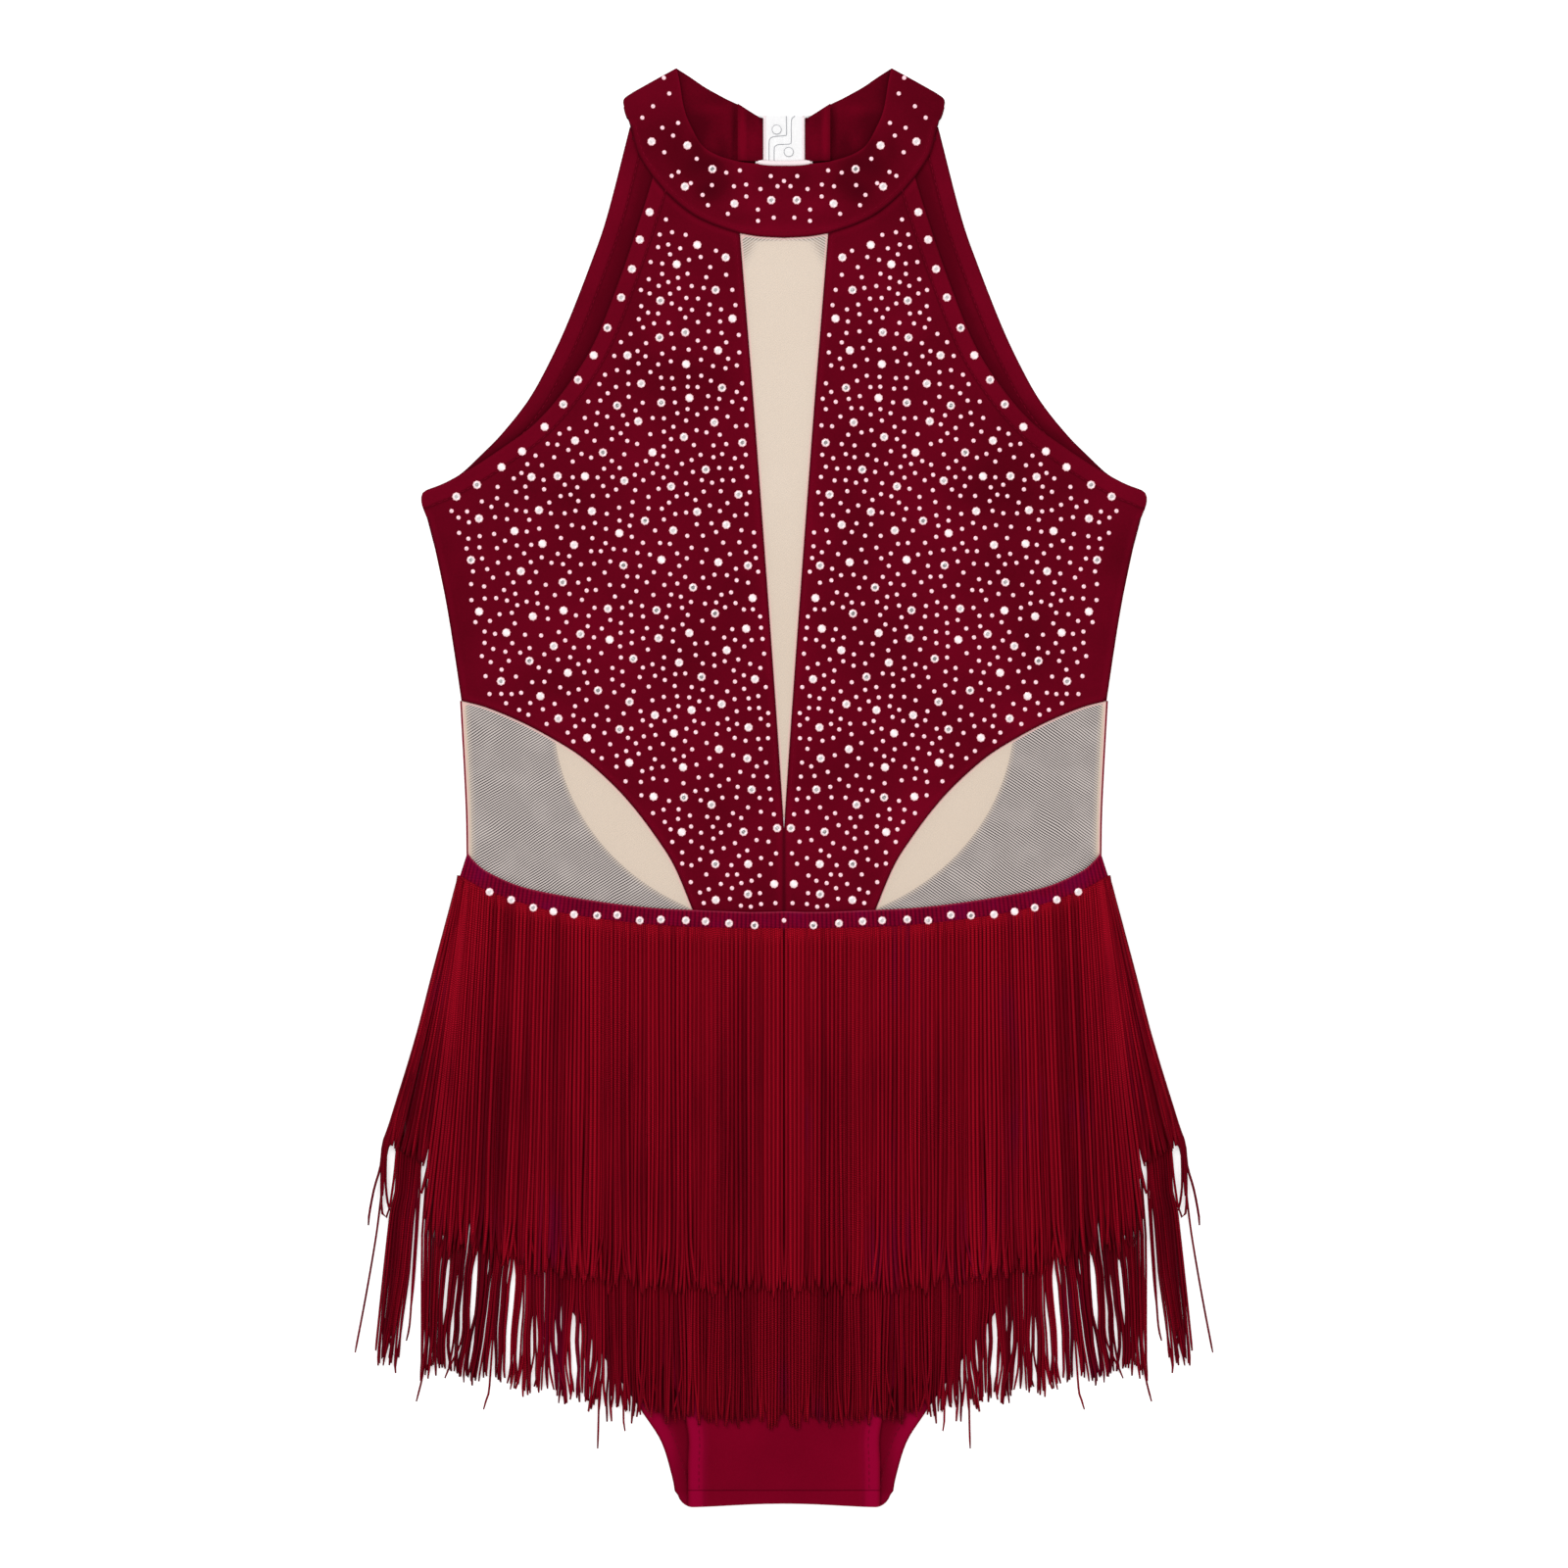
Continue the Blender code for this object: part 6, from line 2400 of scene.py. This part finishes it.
@dataclass
class Studio:
    """Camera, floor and soft light."""

    view_width: float = 0.8
    distance: float = 3.0
    aim_y: float = 0.002
    floor_size: float = 8.0
    floor_drop: float = 0.0004
    sky: float = 0.62
    key_power: float = 34.0
    fill_share: float = 0.55
    key_size: float = 1.6
    key_place: Tuple[float, float, float] = (-1.1, 1.5, 2.1)
    fill_place: Tuple[float, float, float] = (1.6, -1.0, 2.2)
    sensor: float = 36.0

    def build(self) -> None:
        """Set up the studio."""
        scene = bpy.context.scene
        lens = bpy.data.cameras.new("camera")
        lens.sensor_width = self.sensor
        lens.lens = self.sensor * self.distance / self.view_width
        lens.clip_end = 50.0
        camera = bpy.data.objects.new("camera", lens)
        camera.location = (0.0, self.aim_y, self.distance)
        scene.collection.objects.link(camera)
        scene.camera = camera
        self.add_floor()
        self.add_key("key_light", Vector(self.key_place), self.key_power)
        self.add_key("fill_light", Vector(self.fill_place), self.key_power * self.fill_share)
        world = bpy.data.worlds.new("studio_sky")
        world.use_nodes = True
        sky = world.node_tree.nodes["Background"]
        sky.inputs["Color"].default_value = (1.0, 1.0, 1.0, 1.0)
        sky.inputs["Strength"].default_value = self.sky
        scene.world = world
        scene.view_settings.view_transform = "Standard"

    def add_floor(self) -> None:
        """Lay the floor just under the garment."""
        half, z = self.floor_size / 2, -self.floor_drop
        mesh = bpy.data.meshes.new("floor")
        mesh.from_pydata([(-half, -half, z), (half, -half, z), (half, half, z), (-half, half, z)],
                         [], [(0, 1, 2, 3)])
        mesh.materials.append(PaleFloor().make())
        floor = bpy.data.objects.new("floor", mesh)
        bpy.context.scene.collection.objects.link(floor)

    def add_key(self, name: str, place: Vector, power: float) -> None:
        """Add a soft square light that faces the garment.

        Args:
            name: Name of the light.
            place: Where it stands, in metres.
            power: Its power, in watts.
        """
        light = bpy.data.lights.new(name, "AREA")
        light.shape = "SQUARE"
        light.size = self.key_size
        light.energy = power
        lamp = bpy.data.objects.new(name, light)
        lamp.location = place
        lamp.rotation_mode = "QUATERNION"
        lamp.rotation_quaternion = (-place).to_track_quat("-Z", "Y")
        bpy.context.scene.collection.objects.link(lamp)


UPPER_TIER = FringeTier(
    name="upper_fringe", node="fringe_upper", heading=(HEADING_TOP, HEADING_FOOT),
    ends=pattern(0, -255, 55, -254, 100, -250, 130, -244, 165, -234, 181.8, -229, 182.6, -191,
                 198, -184, 203.5, -182),
    strays=(pattern(165.8, -46, 178.1, -92, 187.5, -128, 200.4, -170, 204.2, -181, 205.6, -193,
                    208.8, -204, 211.3, -217, 211.8, -223),
            pattern(165, -46.4, 186.5, -128, 199.4, -170, 203.6, -181, 204.9, -190, 205.2, -208,
                    204.8, -216, 203.5, -219.8, 202.3, -217.5, 201.3, -214.5),
            pattern(165.3, -46.3, 186.4, -128, 198.7, -170, 202.2, -182, 202.9, -192, 202.9, -203,
                    202, -211, 201, -215.5),
            pattern(164.8, -46.5, 185.4, -128, 199, -170, 203, -182, 204.1, -192, 204.2, -200,
                    204.6, -208),
            pattern(164.3, -46.7, 184.2, -128, 194.8, -170, 197.2, -184, 198.4, -196, 200, -208,
                    201, -214),
            pattern(164.6, -46.6, 184.8, -128, 197.8, -170, 201, -182.5),
            pattern(164.2, -46.8, 184.2, -128, 196.8, -170, 199.7, -182.5),
            pattern(163.8, -47, 183.6, -128, 195.8, -170, 198.4, -182.5)),
    guides=(
        pattern(120, -63.5, 124.5, -250),
        pattern(150, -54, 158.5, -244),
        pattern(160, -49, 174.9, -235),
        pattern(163.2, -47.3, 184.5, -190, 190, -230),
        pattern(165.8, -46, 187.5, -128, 203.7, -183, 206, -192)),
    level=1.85, splay_power=7.6, seed=3, most_spread=8.0, wander=0.6, even_from=162.0,
    stray_width=1.4)
LOWER_TIER = FringeTier(
    name="lower_fringe", node="fringe_lower", heading=(LOWER_HEADING_TOP, LOWER_HEADING_FOOT),
    ends=pattern(0, -323, 60, -320.5, 100, -313, 150, -301, 180, -297, 198, -294, 209, -287,
                 220, -285),
    guides=(
        pattern(130, -129, 134, -240, 137, -305),
        pattern(148, -127, 158.5, -240, 165.5, -300),
        pattern(158, -125.5, 170, -150, 181.3, -190, 184.5, -228, 185.2, -260, 186, -297),
        pattern(159.5, -125, 173, -150, 183.8, -182, 185.5, -190, 189.4, -221.5, 191.8, -248,
                195.5, -270, 199, -294.5),
        pattern(174, -122, 186, -150, 197.2, -182, 198.4, -206, 200.8, -215.5, 202, -228,
                204, -250, 207.7, -288)),
    strays=(pattern(174, -122, 188, -150, 200, -178, 203.2, -190, 205.4, -208, 207.9, -228,
                    213, -258, 218.7, -288),
            pattern(160.5, -124, 174, -150, 184.6, -182, 186.4, -198, 187.6, -222, 189.2, -248,
                    190.8, -273, 192.6, -282),
            pattern(159.5, -124, 173, -152, 184.2, -186, 185.8, -208, 187.2, -230, 188.8, -252,
                    190.6, -268),
            pattern(153, -126, 165, -185, 179, -262, 184, -298, 187.5, -313),
            pattern(140, -128, 146, -240, 150, -303, 151, -309, 153.2, -317),
            pattern(93, -132, 93.5, -250, 94.5, -318, 95, -337),
            pattern(80, -133, 80.5, -250, 81.8, -316, 81, -328)),
    gaps=table(Gap, (170, -238, 173.8, -271, 1), (166, -249, 167, -265, 0.7),
                    (168.8, -266, 168.8, -292, 1.2), (157, -239, 160, -274, 1.4),
                    (162.5, -258, 166, -291, 0.7), (150.5, -239, 151, -251, 0.7),
                    (159, -276, 159.5, -300, 1.1), (139.4, -243, 139.5, -252, 0.6),
                    (137, -244, 142, -304, 1.5), (134, -262, 136, -297, 0.7),
                    (128, -271, 128.8, -296, 0.95), (125, -270, 126, -288, 0.6),
                    (115.5, -272, 116, -290, 0.8), (112.5, -266, 113.5, -278, 0.6),
                    (108, -266, 107.5, -302, 1.4), (110.5, -286, 110, -315, 0.95),
                    (103, -273, 103.5, -288, 0.7), (98.5, -281, 98.8, -300, 0.7),
                    (95.5, -294, 95.5, -304, 0.7), (90.5, -290, 91.5, -308, 0.6),
                    (87, -303, 87, -318, 0.7), (148, -282, 150, -312, 1.2),
                    (118.5, -288, 119, -316, 1.2)),
    strands=206, strand_width=1.35, strand_thick=1.0, wild_tips=0.16, most_spread=2.2,
    bare=(158.1, 159.4),
    level=0.35, splay_power=7.0, seed=8)


def main() -> None:
    """Build the studio and every piece of the leotard, in order."""
    Studio().build()
    knit = StretchKnit("burgundy_jersey").make()
    lining = StretchKnit("burgundy_inside", (0.060, 0.0006, 0.0044),
                         (0.150, 0.0010, 0.0100)).make()
    gusset = StretchKnit("burgundy_gusset", (0.145, 0.0004, 0.0100), (0.205, 0.0005, 0.0150),
                         pleats=0.5, hem_share=0.72,
                         seam_share=0.3).make()
    net = NudeNet("nude_net_front").make()
    back_net = NudeNet("nude_net_back", cover=0.6).make()
    upper_yarn = ChainetteYarn("chainette_upper").make()
    lower_yarn = ChainetteYarn("chainette_lower", (0.050, 0.0002, 0.0034),
                               (0.235, 0.0010, 0.0075), (0.460, 0.0060, 0.0210)).make()
    ribbed = RibbedTrim("ribbed_heading").make()
    crystal = CrystalStone("crystal").make()
    thread = SewingThread("burgundy_thread").make()
    bodice = Bodice()
    front = bodice.build(knit, net)
    brief = Brief()
    seat = brief.build(gusset)
    OpenBack().build(back_net, knit)
    collar_cut, collar_front = Collar().build(knit, lining)
    clasp = Clasp()
    clasp.dress(ClearPlastic("clear_clasp").make())
    # The rims are dark grey: painted shade along the edges of the clear plastic.
    clasp.lay_rims(ClearPlastic("clasp_rims", (0.30, 0.31, 0.34), (0.16, 0.17, 0.19), 0.9).make())
    clasp.lay_bars(ClearPlastic("clasp_bars", (0.96, 0.82, 0.84), (0.74, 0.48, 0.52), 0.9).make())
    upper = UPPER_TIER.build(ribbed, upper_yarn)
    lower = LOWER_TIER.build(ribbed, lower_yarn)
    stones = Rhinestones().build(crystal)
    sewing = Stitching().build(thread)
    bodice.declare(front, stones)
    brief.declare(seat, upper + lower + [stones["heading"]], [sewing["brief"]])
    collar_cut.declare(collar_front, [stones["collar"], sewing["collar"]])


if __name__ == "__main__":
    logging.basicConfig(level=logging.INFO, format="%(message)s")
    main()
